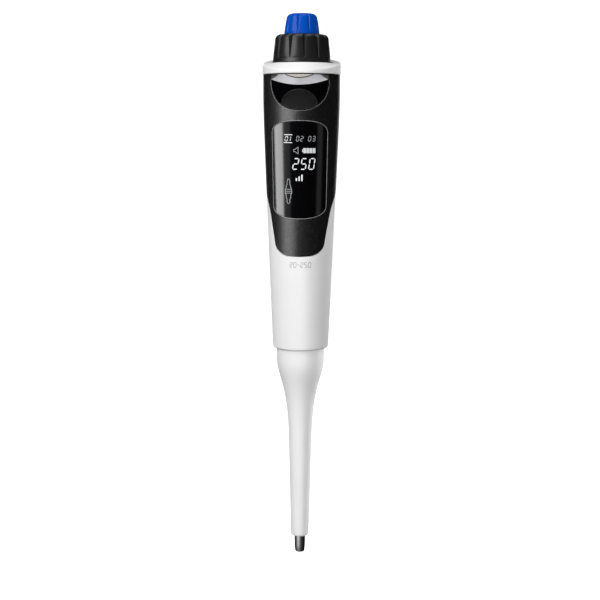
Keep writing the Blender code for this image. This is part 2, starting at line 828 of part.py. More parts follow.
def make_ejector(hub_top):
    rod_at = (ROD_OFFSET * cos(ROD_ANGLE), ROD_OFFSET * sin(ROD_ANGLE))
    per_lobe = 5
    button_bottom = hub_top + EJECTOR_TRAVEL + SLIDE_GAP
    socket = STEM_RADIUS + GAP
    socket_top = BUTTON_TOP - BUTTON_ROOF
    fall = BUTTON_RADIUS - BUTTON_TOP_RADIUS

    def button_ring(drop, groove, height):
        return lobed(BUTTON_RADIUS - drop, groove, height, BUTTON_LOBES, per_lobe)

    rings = [
        button_ring(BUTTON_RADIUS - socket, 0.0, socket_top),
        button_ring(BUTTON_RADIUS - socket, 0.0, button_bottom),
        button_ring(0.0, 0.0, button_bottom),
    ]
    for taper, inwards, groove, depth in BUTTON_PROFILE:
        drop = fall * taper + inwards
        rings.append(button_ring(drop, BUTTON_GROOVE * groove, BUTTON_TOP - depth))
    lofted("ejector_button", rings, blue)
    disc("ejector_stem", STEM_RADIUS, ARM_HEIGHT + GAP, socket_top - GAP, steel)

    reach = hypot(*rod_at)
    outline = arc((0.0, 0.0), ARM_STEM_END, ARM_STEM_END, 90, 270, 9)
    outline += arc((reach, 0.0), ARM_ROD_END, ARM_ROD_END, 270, 450, 9)
    turn = Matrix.Rotation(ROD_ANGLE, 2)
    placed = [tuple(turn @ Vector(point)) for point in outline]
    top = ARM_HEIGHT + ARM_THICKNESS
    arm = prism("ejector_arm", placed, ARM_HEIGHT, top, steel, along="Z")
    cut(arm, through_hole("stem_hole", STEM_RADIUS + GAP, ARM_HEIGHT, top))
    rod_hole = ROD_RADIUS + GAP
    cut(arm, through_hole("arm_rod_hole", rod_hole, ARM_HEIGHT, top, 12, rod_at))
    flange_bottom = SLEEVE_TOP + GAP
    disc("ejector_rod", ROD_RADIUS, flange_bottom + GAP, top - GAP, steel, steps=12, at=rod_at)

    yoke_inner = NUT_RADIUS + SLIDE_GAP
    spigot = SLEEVE_TOP_RADIUS - SLEEVE_WALL - GAP
    flange_top = flange_bottom + YOKE_FLANGE
    profile = [
        (SLEEVE_TOP_RADIUS, flange_top),
        (SLEEVE_TOP_RADIUS, flange_bottom),
        (spigot, flange_bottom),
        (spigot, flange_bottom - YOKE_SPIGOT),
        (yoke_inner, flange_bottom - YOKE_SPIGOT),
        (yoke_inner, flange_top),
    ]
    yoke = turned("ejector_yoke", profile, grey)
    cut(yoke, through_hole("yoke_hole", rod_hole, flange_bottom, flange_top, 12, rod_at))

    collar_top = BATTERY_SHELF - GAP - SLIDE_GAP
    collar_bottom = collar_top - COLLAR_THICKNESS
    ring("rod_collar", COLLAR_RADIUS, rod_hole, collar_bottom, collar_top, steel, at=rod_at)
    spring_low = MOTOR_TOP + GAP + SHELF_THICKNESS + GAP
    coil("ejector_spring", spring_low, collar_bottom - GAP, rod_at, steel)
    guide_low = TOP_SHELF - GUIDE_LIP
    guide_high = TOP_SHELF + FLOOR_THICKNESS
    ring("rod_guide", GUIDE_RADIUS, rod_hole, guide_low, guide_high, bronze, at=rod_at)
    make_sleeve()
    return rod_at


def make_sleeve():
    """The sleeve narrows from the housing's mouth to the nozzle in one long concave sweep."""
    sweep_top = (SLEEVE_TOP_RADIUS, HOUSING_BOTTOM - SWEEP_DROP)
    sweep_foot = (SWEEP_FOOT_RADIUS, sweep_top[1] - SWEEP_LENGTH)
    outer = [(SLEEVE_TOP_RADIUS, SLEEVE_TOP), sweep_top]
    for share in between(SWEEP_FIRST, 1.0, 9):
        outer.append(sleeve_sweep(sweep_top, sweep_foot, share))
    outer.append((SLEEVE_BOTTOM_RADIUS, SLEEVE_BOTTOM + SLEEVE_LIP))
    for turn in between(radians(20), pi / 2, 4):
        inset = SLEEVE_ROUND * (1 - cos(turn))
        height = SLEEVE_BOTTOM + SLEEVE_ROUND * (1 - sin(turn))
        outer.append((SLEEVE_BOTTOM_RADIUS - inset, height))
    mouth = NOZZLE_RADIUS + SLIDE_GAP
    inner = [(mouth, SLEEVE_BOTTOM), (mouth + SLEEVE_DRAFT, SLEEVE_BOTTOM + SLEEVE_THROAT)]
    for share in between(1.0, SWEEP_FIRST, 5):
        radius, height = sleeve_sweep(sweep_top, sweep_foot, share)
        inner.append((radius - SLEEVE_WALL, height))
    inner.append((SLEEVE_TOP_RADIUS - SLEEVE_WALL, SLEEVE_TOP))
    turned("ejector_sleeve", outer + inner, white, steps=24)


def sleeve_sweep(top, foot, share):
    """A point of the S-shaped shoulder: upright at the top, then a waist that fades to the taper."""
    height = top[1] + (foot[1] - top[1]) * share
    waist = 1 / (1 + (SWEEP_WAIST * share) ** SWEEP_POWER)
    waist_end = 1 / (1 + SWEEP_WAIST**SWEEP_POWER)
    radius = foot[0] + (top[0] - foot[0]) * (waist - waist_end) / (1 - waist_end)
    return radius, height


def make_nozzle():
    bore = PISTON_RADIUS + BORE_GAP
    barrel = PISTON_RADIUS + BARREL_WALL
    flange_top = FLANGE_HEIGHT + FLANGE_THICKNESS
    seal_bottom = FLANGE_HEIGHT - SEAL_DEPTH
    cone_top = seal_bottom - SEAL_FLOOR
    profile = [
        (FLANGE_RADIUS, flange_top),
        (FLANGE_RADIUS, FLANGE_HEIGHT),
        (SEAL_HOUSING_RADIUS, FLANGE_HEIGHT),
        (SEAL_HOUSING_RADIUS, cone_top),
        (barrel, cone_top - SEAL_CONE),
        (barrel, BARREL_BOTTOM),
        (NOZZLE_RADIUS + NOZZLE_ROOT_EXTRA, BARREL_BOTTOM - BARREL_CONE),
        (NOZZLE_RADIUS, SLEEVE_BOTTOM + SLEEVE_THROAT),
        (NOZZLE_RADIUS, SLEEVE_BOTTOM - NOZZLE_STRAIGHT),
        (NOZZLE_TIP_RADIUS + NOZZLE_TIP_DRAFT, NOZZLE_TIP_LENGTH),
        (NOZZLE_TIP_RADIUS, NOZZLE_ROUND_HEIGHT),
        (NOZZLE_TIP_RADIUS - NOZZLE_ROUND, 0.0),
        (AIR_HOLE, 0.0),
        (AIR_HOLE, BARREL_BOTTOM - BORE_CONE),
        (bore, BARREL_BOTTOM),
        (bore, seal_bottom),
        (SEAL_BORE, seal_bottom),
        (SEAL_BORE, flange_top),
    ]
    turned("nozzle", profile, nozzle_black)

    nut_floor = FLANGE_HEIGHT - NUT_DROP
    nut_inner = FLANGE_RADIUS + GAP
    profile = [
        (NUT_RADIUS, NUT_TOP),
        (NUT_RADIUS, nut_floor),
        (SEAL_HOUSING_RADIUS + GAP, nut_floor),
        (SEAL_HOUSING_RADIUS + GAP, FLANGE_HEIGHT - GAP),
        (nut_inner, FLANGE_HEIGHT - GAP),
        (nut_inner, NUT_TOP),
    ]
    turned("nozzle_nut", profile, grey)
    seal = SEAL_BORE - GAP
    retainer_top = flange_top + RETAINER_PROUD
    retainer_bottom = retainer_top - RETAINER_THICKNESS
    ring("piston_seal", seal, bore, seal_bottom + GAP, retainer_bottom - GAP, rubber)
    ring("seal_retainer", seal, bore + LAP, retainer_bottom, retainer_top, steel)


def make_drive(rod_at):
    """Motor, lead screw, coupling and piston, stacked on the axis above the nozzle."""
    mount_bore = COUPLING_RADIUS + GAP
    plate = half_width(MOUNT_TOP - MOUNT_PLATE) - WALL - GAP
    profile = [
        (plate, MOUNT_TOP),
        (plate, MOUNT_TOP - MOUNT_PLATE),
        (NUT_RADIUS, MOUNT_TOP - MOUNT_PLATE),
        (NUT_RADIUS, NUT_TOP + GAP),
        (FLANGE_RADIUS, NUT_TOP + GAP),
        (FLANGE_RADIUS, MOUNT_BOTTOM),
        (mount_bore, MOUNT_BOTTOM),
        (mount_bore, MOUNT_TOP),
    ]
    mount = turned("barrel_mount", profile, grey)
    way = ROD_RADIUS + WAY_GAP
    cut(mount, through_hole("mount_rod_way", way, MOUNT_TOP - MOUNT_PLATE, MOUNT_TOP, 12, rod_at))
    key_half = KEY_HALF_WIDTH
    key_reach = COUPLING_RADIUS + KEY_DEPTH
    slot = box(
        "key_slot",
        (-key_reach - GAP, -key_half - GAP, MOUNT_BOTTOM + KEY_SLOT_RISE),
        (key_reach + GAP, key_half + GAP, MOUNT_TOP + THROUGH),
        None,
        guide=True,
    )
    cut(mount, slot)

    piston_bottom = BARREL_BOTTOM + PISTON_FLOOR_GAP
    coupling_top = COUPLING_BOTTOM + COUPLING_HEIGHT
    middle = COUPLING_BOTTOM + COUPLING_HEIGHT / 2
    piston_socket = PISTON_RADIUS + GAP
    screw_socket = SCREW_RADIUS + GAP
    profile = [
        (COUPLING_RADIUS, coupling_top),
        (COUPLING_RADIUS, COUPLING_BOTTOM),
        (piston_socket, COUPLING_BOTTOM),
        (piston_socket, middle),
        (screw_socket, middle),
        (screw_socket, coupling_top),
    ]
    coupling = turned("piston_coupling", profile, steel)
    for side, label in ((-1, "left"), (1, "right")):
        ends = sorted((side * key_reach, side * (COUPLING_RADIUS - KEY_ROOT)))
        rib = box(
            f"coupling_rib_{label}",
            (ends[0], -key_half, COUPLING_BOTTOM + KEY_INSET),
            (ends[1], key_half, coupling_top - KEY_INSET),
            None,
            guide=True,
        )
        weld_on(coupling, rib)
    disc("piston", PISTON_RADIUS, piston_bottom, middle - GAP, chrome, steps=20)

    cavity = MOTOR_RADIUS - MOTOR_WALL
    cavity_low = MOTOR_BOTTOM + MOTOR_END_PLATE
    cavity_high = MOTOR_TOP - MOTOR_END_PLATE
    neck = SCREW_RADIUS + SCREW_NECK_GAP
    profile = [
        (MOTOR_RADIUS, MOTOR_TOP),
        (MOTOR_RADIUS, MOTOR_BOTTOM),
        (neck, MOTOR_BOTTOM),
        (neck, cavity_low),
        (cavity, cavity_low),
        (cavity, cavity_high),
        (neck, cavity_high),
        (neck, MOTOR_TOP),
    ]
    turned("motor_can", profile, steel)
    low = cavity_low + GAP
    high = cavity_high - GAP
    ring("motor_rotor", cavity - SLIDE_GAP, SCREW_RADIUS + GAP, low, high, copper)
    disc("lead_screw", SCREW_RADIUS, middle + GAP, SCREW_TOP, steel)


def shelf(name, bottom, thickness, front=None):
    """A plate that reaches the housing's inner wall, cut off straight in front where asked."""
    across = half_width(bottom) - WALL - GAP
    deep = half_depth(bottom) - WALL - GAP
    rings = []
    for height in (bottom, bottom + thickness):
        edge = oval(across, deep, height, 28)
        if front is not None:
            edge = [(x, max(y, front), z) for x, y, z in edge]
        rings.append(edge)
    return lofted(name, rings, None, guide=True)


def make_frame(rod_at):
    """The inner frame: a spine behind the board, three shelves and the trigger's two lugs."""
    low = MOTOR_TOP + GAP
    rear = SPINE_Y + SPINE_THICKNESS / 2
    shoulder = TOP_SHELF + FLOOR_THICKNESS
    outline = [
        (-SPINE_HALF_WIDTH, low + WELD),
        (SPINE_HALF_WIDTH, low + WELD),
        (SPINE_HALF_WIDTH, shoulder),
        (SPINE_HALF_WIDTH - SPINE_NARROWING, SPINE_TOP),
        (-SPINE_HALF_WIDTH + SPINE_NARROWING, SPINE_TOP),
        (-SPINE_HALF_WIDTH, shoulder),
    ]
    frame = prism("chassis", outline, SPINE_FRONT, rear, grey)
    weld_on(
        frame,
        shelf("motor_shelf", low, SHELF_THICKNESS),
        shelf("battery_shelf", BATTERY_SHELF, FLOOR_THICKNESS, SPINE_FRONT + LAP),
        shelf("upper_shelf", TOP_SHELF, FLOOR_THICKNESS),
    )
    lug_root = TOP_SHELF + WELD
    lug_outline = [(LUG_REAR, lug_root), (LUG_REAR, PIVOT_HEIGHT - LUG_SHOULDER)]
    lug_outline += arc((PIVOT_Y, PIVOT_HEIGHT), LUG_RADIUS, LUG_RADIUS, 60, 260, 10)
    lug_outline += [(LUG_FRONT, PIVOT_HEIGHT - LUG_WAIST), (LUG_FRONT, lug_root)]
    for side, label in ((-1, "left"), (1, "right")):
        start, end = sorted((side * LUG_INNER, side * (LUG_INNER + LUG_THICKNESS)))
        lug = prism(f"trigger_lug_{label}", lug_outline, start, end, None, along="X", guide=True)
        weld_on(frame, lug)
    cut(frame, pin_way("lug_holes"))
    battery_floor = BATTERY_SHELF + FLOOR_THICKNESS
    guide_top = TOP_SHELF + FLOOR_THICKNESS
    cut(
        frame,
        through_hole("screw_way", SCREW_RADIUS + SCREW_WAY_GAP, low, low + SHELF_THICKNESS),
        through_hole("rod_way_low", ROD_RADIUS + WAY_GAP, low, battery_floor, 12, rod_at),
        through_hole("rod_way_top", GUIDE_RADIUS + GAP, TOP_SHELF, guide_top, 16, rod_at),
    )
    return frame


def pin_way(name):
    """A cutter for the trigger pin's holes, as wide as the spine."""
    reach = PIN_RADIUS + GAP
    outline = arc((PIVOT_Y, PIVOT_HEIGHT), reach, reach, 0, 330, 12)
    return prism(name, outline, -SPINE_HALF_WIDTH, SPINE_HALF_WIDTH, None, along="X", guide=True)


def round_bolt(name, x, height, front, length, finish, towards=1):
    """A small pan-head screw along Y: the head's flat starts at front and the shank runs in."""
    head = towards * BOLT_HEAD
    profile_head = arc((x, height), BOLT_HEAD_RADIUS, BOLT_HEAD_RADIUS, 0, 337.5, 16)
    profile_shank = arc((x, height), BOLT_RADIUS, BOLT_RADIUS, 0, 330, 12)
    low, high = sorted((front, front + head))
    bolt = prism(name, profile_head, low, high, finish)
    low, high = sorted((front + head / 2, front + head + towards * length))
    weld_on(bolt, prism(f"{name}_shank", profile_shank, low, high, None, guide=True))
    return bolt


def make_electronics(frame):
    board_rear = SPINE_FRONT - GAP
    board_front = board_rear - BOARD_THICKNESS
    board = box(
        "main_board",
        (-BOARD_HALF_WIDTH, board_front, BOARD_BOTTOM),
        (BOARD_HALF_WIDTH, board_rear, TOP_SHELF - GAP),
        board_green,
    )
    bolt_height = BOARD_BOTTOM + BOLT_INSET_Z
    bolt_x = BOARD_HALF_WIDTH - BOLT_INSET_X
    for side, label in ((-1, "left"), (1, "right")):
        x = side * bolt_x
        name = f"board_bolt_way_{label}"
        reach = BOLT_RADIUS + GAP
        way = rod_along_y(name, reach, x, bolt_height, CUT_FRONT, 0.0, None, 12, guide=True)
        cut(board, way)
        cut(frame, way)
        head_front = board_front - GAP - BOLT_HEAD
        length = BOARD_THICKNESS + SPINE_THICKNESS + GAP
        round_bolt(f"board_screw_{label}", x, bolt_height, head_front, length, steel)
    display_rear = board_front - GAP
    display = box(
        "display_module",
        (-DISPLAY_HALF_WIDTH, display_rear - DISPLAY_DEPTH, WINDOW_BOTTOM + DISPLAY_MARGIN),
        (DISPLAY_HALF_WIDTH, display_rear, WINDOW_TOP - DISPLAY_MARGIN),
        grey,
    )
    soften(display, DISPLAY_ROUND)
    buzzer_front = display_rear - BUZZER_HEIGHT
    rod_along_y("buzzer", BUZZER_RADIUS, 0.0, bolt_height, buzzer_front, display_rear, black, 20)

    battery_low = BATTERY_SHELF + FLOOR_THICKNESS + CONTACT_ROOM
    battery_high = TOP_SHELF - CONTACT_ROOM
    shoulder = battery_high - BATTERY_NUB_HEIGHT
    profile = [
        (0.0, battery_high),
        (BATTERY_NUB_RADIUS, battery_high),
        (BATTERY_NUB_RADIUS, shoulder),
        (BATTERY_RADIUS - BATTERY_ROUND, shoulder),
        (BATTERY_RADIUS, shoulder - BATTERY_ROUND),
        (BATTERY_RADIUS, battery_low),
        (0.0, battery_low),
    ]
    at = (0.0, BATTERY_Y)
    turned("battery", profile, battery_wrap, at=at)
    lower = BATTERY_SHELF + FLOOR_THICKNESS + GAP
    disc("battery_contact_lower", CONTACT_RADIUS, lower, lower + CONTACT_THICKNESS, steel, at=at)
    upper = TOP_SHELF - GAP
    disc("battery_contact_upper", CONTACT_RADIUS, upper - CONTACT_THICKNESS, upper, steel, at=at)

    low = HUB_BOTTOM + GAP
    high = low + BOARD_THICKNESS
    front = LUG_REAR + THROUGH
    across = half_width(low) - WALL - GAP
    deep = half_depth(low) - WALL - GAP
    rings = []
    for height in (low, high):
        edge = oval(across, deep, height, 36)
        rings.append([(x, max(y, front), z) for x, y, z in edge])
    encoder = lofted("encoder_board", rings, board_green)
    cut(encoder, through_hole("encoder_hole", HUB_RADIUS + ENCODER_HOLE_GAP, low, high))


def trigger_ring(height_at, proud):
    """A ring of the trigger's skin: a height for each x, and how far it stands off the housing."""
    points = []
    for x, y, _ in oval(1.0, 1.0, 0.0, 40):
        height = height_at(x * TRIGGER_REACH)
        points.append(
            (x * (half_width(height) + proud), y * (half_depth(height) + proud), height)
        )
    return points


def make_trigger():
    """Key, crescent, pin, switch and plunger; the key turns about its pin under the cap."""
    pivot = bpy.data.objects.new("trigger_pivot", None)
    parts.objects.link(pivot)
    pivot.parent = axis_empty
    pivot.location = (0.0, PIVOT_Y, PIVOT_HEIGHT)
    foot = TRIGGER_BOTTOM - THROUGH
    crest = TRIGGER_TOP - CRESCENT_DIP
    top = HOUSING_TOP - UNDER_CAP

    def ridge(x, lift=0.0):
        return crest + lift + CRESCENT_DIP * min(1.0, (x / TRIGGER_HALF_WIDTH) ** 2)

    rings = []
    for share in between(0.0, 1.0, 5):
        proud = TRIGGER_PROUD_FOOT + (TRIGGER_PROUD_TOP - TRIGGER_PROUD_FOOT) * share**TRIGGER_SWELL
        rings.append(trigger_ring(lambda x, part=share: foot + (ridge(x) - foot) * part, proud))
    rings.append(trigger_ring(lambda x: top, GAP))
    rings.append(trigger_ring(lambda x: top, -TRIGGER_THICKNESS))
    rings.append(trigger_ring(lambda x: foot, -TRIGGER_THICKNESS))
    key = lofted("trigger_key", rings, gloss_black, loop=True, parent=pivot)
    shape = front_cutter("trigger_shape", trigger_outline(DOOR_GAP))
    combine(key, shape, "INTERSECT")

    sunk = CRESCENT_THICKNESS + GAP
    seat = [
        trigger_ring(lambda x: ridge(x, -GAP), TRIGGER_PROUD_TOP - sunk + CRESCENT_PLAY),
        trigger_ring(lambda x: top, GAP - sunk),
        trigger_ring(lambda x: top + THROUGH, GAP - sunk),
        trigger_ring(lambda x: top + THROUGH, TRIGGER_STOCK),
        trigger_ring(lambda x: ridge(x, -GAP), TRIGGER_STOCK),
    ]
    cut(key, lofted("crescent_seat", seat, None, loop=True, guide=True))
    strip = [
        trigger_ring(ridge, TRIGGER_PROUD_TOP),
        trigger_ring(lambda x: top, GAP),
        trigger_ring(lambda x: top, GAP - CRESCENT_THICKNESS),
        trigger_ring(ridge, TRIGGER_PROUD_TOP - CRESCENT_THICKNESS),
    ]
    crescent = lofted("trigger_crescent", strip, silver, loop=True, parent=pivot)
    combine(crescent, shape, "INTERSECT")

    ear_outline = arc((PIVOT_Y, PIVOT_HEIGHT), EAR_RADIUS, EAR_RADIUS, -90, 90, 9)
    root = PIVOT_Y - EAR_LENGTH
    ear_outline += [(root, PIVOT_HEIGHT + EAR_RADIUS), (root, PIVOT_HEIGHT - EAR_RADIUS)]
    ear_inner = LUG_INNER + LUG_THICKNESS + EAR_SIDE_GAP
    ear_outer = ear_inner + EAR_THICKNESS
    for side, label in ((-1, "left"), (1, "right")):
        start, end = sorted((side * ear_inner, side * ear_outer))
        ear = prism(f"trigger_ear_{label}", ear_outline, start, end, None, along="X", guide=True)
        weld_on(key, ear)
    switch_rear = SPINE_FRONT - GAP
    switch_front = switch_rear - SWITCH_DEPTH
    plunger_front = switch_front - PLUNGER_STAND
    height = SWITCH_HEIGHT
    ends = (POST_FRONT, plunger_front - GAP)
    weld_on(key, rod_along_y("trigger_post", POST_RADIUS, 0.0, height, *ends, None, guide=True))
    cut(key, pin_way("ear_holes"))

    pin_half = ear_outer + PIN_PROUD
    pin_outline = arc((PIVOT_Y, PIVOT_HEIGHT), PIN_RADIUS, PIN_RADIUS, 0, 330, 12)
    prism("trigger_pin", pin_outline, -pin_half, pin_half, steel, along="X")

    switch = box(
        "trigger_switch",
        (-SWITCH_HALF_WIDTH, switch_front, height - SWITCH_HALF_HEIGHT),
        (SWITCH_HALF_WIDTH, switch_rear, height + SWITCH_HALF_HEIGHT),
        black,
    )
    bore_end = switch_rear - SWITCH_BACK
    reach = PLUNGER_RADIUS + GAP
    ends = (switch_front - THROUGH, bore_end)
    cut(switch, rod_along_y("plunger_way", reach, 0.0, height, *ends, None, guide=True))
    ends = (plunger_front, bore_end - GAP - SWITCH_TRAVEL)
    rod_along_y("switch_plunger", PLUNGER_RADIUS, 0.0, height, *ends, white)


def make_hook():
    """The finger hook: an arched top over a finger-wide hollow with a flat to hang on."""
    high = HOOK_TOP - HOOK_TIP
    outline = arc((HOOK_ARCH_Y, HOOK_TIP), HOOK_REACH - HOOK_ARCH_Y, high, 90, 0, 13)
    tip_radius = HOOK_TIP_THICKNESS / 2
    tip_y = HOOK_REACH - tip_radius
    outline += arc((tip_y, HOOK_TIP), tip_radius, tip_radius * HOOK_TIP_STRETCH, 0, -180, 7)[1:-1]
    inner_reach = HOOK_REACH - HOOK_TIP_THICKNESS - HOOK_FLAT_END
    outline += arc((HOOK_FLAT_END, HOOK_TIP), inner_reach, HOOK_SEAT - HOOK_TIP, 0, 90, 9)
    foot = HOOK_SEAT - HOOK_FILLET
    across = HOOK_FLAT_START - half_depth(foot)
    outline += arc((HOOK_FLAT_START, foot), across, HOOK_FILLET, 90, 180, 6)
    outline += [(HOOK_ROOT, foot), (HOOK_ROOT, HOOK_TOP)]
    hook = prism("finger_hook", outline, -HOOK_HALF_WIDTH, HOOK_HALF_WIDTH, white, along="X")
    soften(hook, HOOK_ROUND, 2, 50)
    cut(hook, housing_core("housing_grown", foot - HOOK_FALL, HOUSING_TOP - THROUGH, GAP))
    bolt_height = (HOOK_SEAT + HOOK_TOP) / 2
    inside = half_depth(bolt_height) - WALL
    hole_end = inside + BOLT_LENGTH + GAP
    reach = BOLT_RADIUS + GAP
    ends = (inside - 2 * WALL, hole_end)
    hole = rod_along_y("hook_bolt_way", reach, 0.0, bolt_height, *ends, None, 12, guide=True)
    cut(hook, hole)
    cut(bpy.data.objects["rear_housing"], hole)
    head_front = inside - GAP - BOLT_HEAD
    round_bolt("hook_screw", 0.0, bolt_height, head_front, BOLT_LENGTH, steel)


def make_charge_contacts():
    x = CHARGE_SPACING / 2
    face = -front_y(CHARGE_HEIGHT, x)
    for side, label in ((-1, "left"), (1, "right")):
        name = f"charge_contact_{label}"
        rod_along_y(name, CHARGE_RADIUS, side * x, CHARGE_HEIGHT, face - CHARGE_LENGTH, face, steel)


clear_scene()
bpy.context.scene.collection.children.link(parts)
bpy.context.scene.collection.children.link(cutters)

axis_empty = bpy.data.objects.new("pipette_axis", None)
parts.objects.link(axis_empty)
axis_empty.location = (0.0, -HOOK_SEAT_Y, -HOOK_SEAT)

white = material("housing_white", (0.86, 0.87, 0.88), 0.35)
black = material("satin_black", (0.018, 0.018, 0.020), 0.42)
gloss_black = material("gloss_black", (0.010, 0.010, 0.012), 0.12)
lens_black = material("lens_black", (0.012, 0.012, 0.014), 0.05)
nozzle_black = material("nozzle_black", (0.020, 0.020, 0.022), 0.22)
blue = material("button_blue", (0.010, 0.095, 0.62), 0.18)
silver = material("crescent_silver", (0.55, 0.56, 0.57), 0.30, 0.6)
grey = material("frame_grey", (0.22, 0.23, 0.24), 0.55)
steel = material("bright_steel", (0.62, 0.63, 0.65), 0.30, 1.0)
chrome = material("piston_chrome", (0.78, 0.79, 0.80), 0.12, 1.0)
bronze = material("bearing_bronze", (0.55, 0.36, 0.17), 0.38, 1.0)
copper = material("rotor_copper", (0.62, 0.30, 0.16), 0.40, 1.0)
rubber = material("seal_rubber", (0.03, 0.03, 0.03), 0.80)
board_green = material("board_green", (0.02, 0.16, 0.07), 0.45)
battery_wrap = material("battery_wrap", (0.10, 0.16, 0.34), 0.40)

make_housing()
make_cap()
hub_top = make_wheel()
rod_at = make_ejector(hub_top)
make_nozzle()
make_drive(rod_at)
make_electronics(make_frame(rod_at))
make_trigger()
make_hook()
make_charge_contacts()
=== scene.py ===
"""Looks for a hand-held electronic pipette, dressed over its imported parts.

Lengths are in metres. Shapes are worked out in heights above the nozzle's end, with the
pipette's axis at x = y = 0 and the front towards -Y, and put in place as the last step.
"""

from math import cos, pi, radians, sin, tan

import bmesh
import bpy
import numpy as np
from mathutils import Matrix, Vector


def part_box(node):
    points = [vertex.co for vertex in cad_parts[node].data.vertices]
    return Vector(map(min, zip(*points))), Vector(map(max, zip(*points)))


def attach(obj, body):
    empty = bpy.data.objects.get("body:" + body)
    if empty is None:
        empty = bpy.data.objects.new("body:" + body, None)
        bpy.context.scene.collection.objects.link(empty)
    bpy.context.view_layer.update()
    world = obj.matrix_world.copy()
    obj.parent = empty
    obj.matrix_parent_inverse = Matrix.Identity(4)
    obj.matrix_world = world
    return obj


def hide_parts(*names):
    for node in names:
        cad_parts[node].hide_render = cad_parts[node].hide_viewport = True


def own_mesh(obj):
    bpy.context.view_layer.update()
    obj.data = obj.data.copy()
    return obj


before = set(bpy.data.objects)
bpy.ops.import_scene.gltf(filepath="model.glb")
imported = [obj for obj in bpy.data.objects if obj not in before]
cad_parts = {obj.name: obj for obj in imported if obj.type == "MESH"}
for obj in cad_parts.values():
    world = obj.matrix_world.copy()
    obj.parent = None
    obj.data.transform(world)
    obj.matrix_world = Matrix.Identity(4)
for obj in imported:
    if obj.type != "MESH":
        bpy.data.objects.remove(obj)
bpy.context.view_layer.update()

# Places read from the frame
AXIS_Y = (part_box("piston")[0].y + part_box("piston")[1].y) / 2
NOZZLE_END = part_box("nozzle")[0].z
HOUSING_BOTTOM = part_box("rear_housing")[0].z - NOZZLE_END
HOUSING_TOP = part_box("rear_housing")[1].z - NOZZLE_END
WHEEL_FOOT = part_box("setting_wheel")[0].z - NOZZLE_END
WHEEL_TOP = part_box("setting_wheel")[1].z - NOZZLE_END
BUTTON_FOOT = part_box("ejector_button")[0].z - NOZZLE_END
BUTTON_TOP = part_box("ejector_button")[1].z - NOZZLE_END
SLEEVE_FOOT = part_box("ejector_sleeve")[0].z - NOZZLE_END
SLEEVE_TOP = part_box("ejector_sleeve")[1].z - NOZZLE_END
WINDOW_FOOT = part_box("display_window")[0].z - NOZZLE_END
WINDOW_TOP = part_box("display_window")[1].z - NOZZLE_END
KEY_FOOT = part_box("trigger_key")[0].z - NOZZLE_END
NOZZLE_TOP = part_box("nozzle")[1].z - NOZZLE_END

# Meshes: doubles merge this close, creases are in degrees, cuts run from near the axis to far
MERGE = 2e-7
CREASE = 34
CUT_NEAR = 0.005
CUT_FAR = 0.040
CUT_PAST = 0.001

# Housing
GAP = 0.0003
HALF_WIDTH_TOP = 0.01815
TAPER = 0.042
SHOULDER_DROP = 0.0073
SHOULDER_ROLL = 0.012
EXTRA_DEPTH = 0.0014
WALL = 0.0015
MOUTH_ROUND = 0.0011
EDGE_ROUND = 0.00025
SEAM_FOOT = 0.1492
# Millimetres above the seam's foot, and half the fascia's reach there in degrees
SEAM_LINE = ((0.0, 0.0), (0.3, 20.0), (2.0, 37.5), (4.2, 46.5), (8.5, 50.5), (13.8, 55.0))
SEAM_LINE += ((23.0, 65.5), (28.3, 80.0), (31.5, 91.0), (45.0, 103.0), (84.0, 112.0))
SEAM_CROWDING = 2.6
SEAM_FIRST_SHARE = 0.02
SLOPE_LIMIT = 2.5
SEAM_GAP = 0.7 * GAP
COLUMN_FADE = (0.05, 1.05, 0.5)
SLOPE_STEP = 0.00001
OUTER_BAND = 0.0015
OUTER_FACING = 0.8
OUTLINE_POINTS = 200
PAD_POINTS = 160
PATCH_ROUND = 0.00012
CHARGE_HEIGHT = 0.1640
CHARGE_X = 0.0040
CHARGE_RADIUS = 0.0023

# Window and the marks on it
WINDOW_HALF_TOP = 0.0129
WINDOW_HALF_FOOT = 0.0123
WINDOW_ARCH = 0.0062
WINDOW_SMILE = 0.0062
ARCH_SQUARENESS = 0.72
SMILE_SQUARENESS = 0.80
LENS_THICKNESS = 0.0014
LENS_GAP = 0.00015
MARK_RAISED = 0.00004
MARK_SUNK = 0.00010
MODE_FOOT = 0.2028
BATTERY_HEIGHT = 0.19845
VOLUME_FOOT = 0.1899
BARS_FOOT = 0.1845
RANGE_FOOT = 0.1440
LEVEL_X = -0.0050
SLANT = 0.16
STROKE_STEP = 0.0005
STROKE_POINT = 0.35
STROKE_SHOULDER = 0.85
LIT = {0: "abcdef", 1: "bc", 2: "abged", 3: "abgcd", 5: "afgcd"}

# Fine lines, painted highlights round the openings and the pad and a painted shadow under the lip:
# how far outside an opening they run, and the radius of each
LINE_OUT = 0.00003
WINDOW_HIGHLIGHT = 0.00010
KEY_HIGHLIGHT = 0.00009
PAD_HIGHLIGHT = 0.00006
LIP_SHADOW = 0.00020

# Trigger
KEY_HALF_WIDTH = 0.0135
KEY_TOP = 0.2310
KEY_SQUARENESS = 0.86
KEY_PROUD_TOP = 0.0024
KEY_PROUD_FOOT = 0.0006
KEY_SWELL = 1.4
KEY_SWELL_DROP = 0.0010
KEY_THICKNESS = 0.0020
KEY_GAP = 0.00035
KEY_UNDER_CAP = 0.0002
CRESCENT_DIP = 0.0027
CRESCENT_THICKNESS = 0.0009
CRESCENT_PLAY = 0.00025
FACET_WIDTH = 0.27
FACET_SINK = 0.0009
LIP_HALF_WIDTH = 0.0064
LIP_DROP = 0.0015
LIP_PROUD = 0.00030
PAD_HALF_WIDTH = 0.0082
PAD_CENTRE = 0.2196
PAD_RISE = 0.0067
PAD_FLOOR = 0.0003
PAD_STEP = 0.00030
PAD_HOLLOW = 0.00055
PAD_BAND = 0.05
PAD_FOOT_BAND = 0.0004
EAR_INNER = 0.0046
EAR_OUTER = 0.0060
EAR_RADIUS = 0.0016
EAR_ROOT = -0.0172
PIVOT_Y = -0.0150
PIVOT_DROP = 0.0038
PIN_WAY = 0.0011
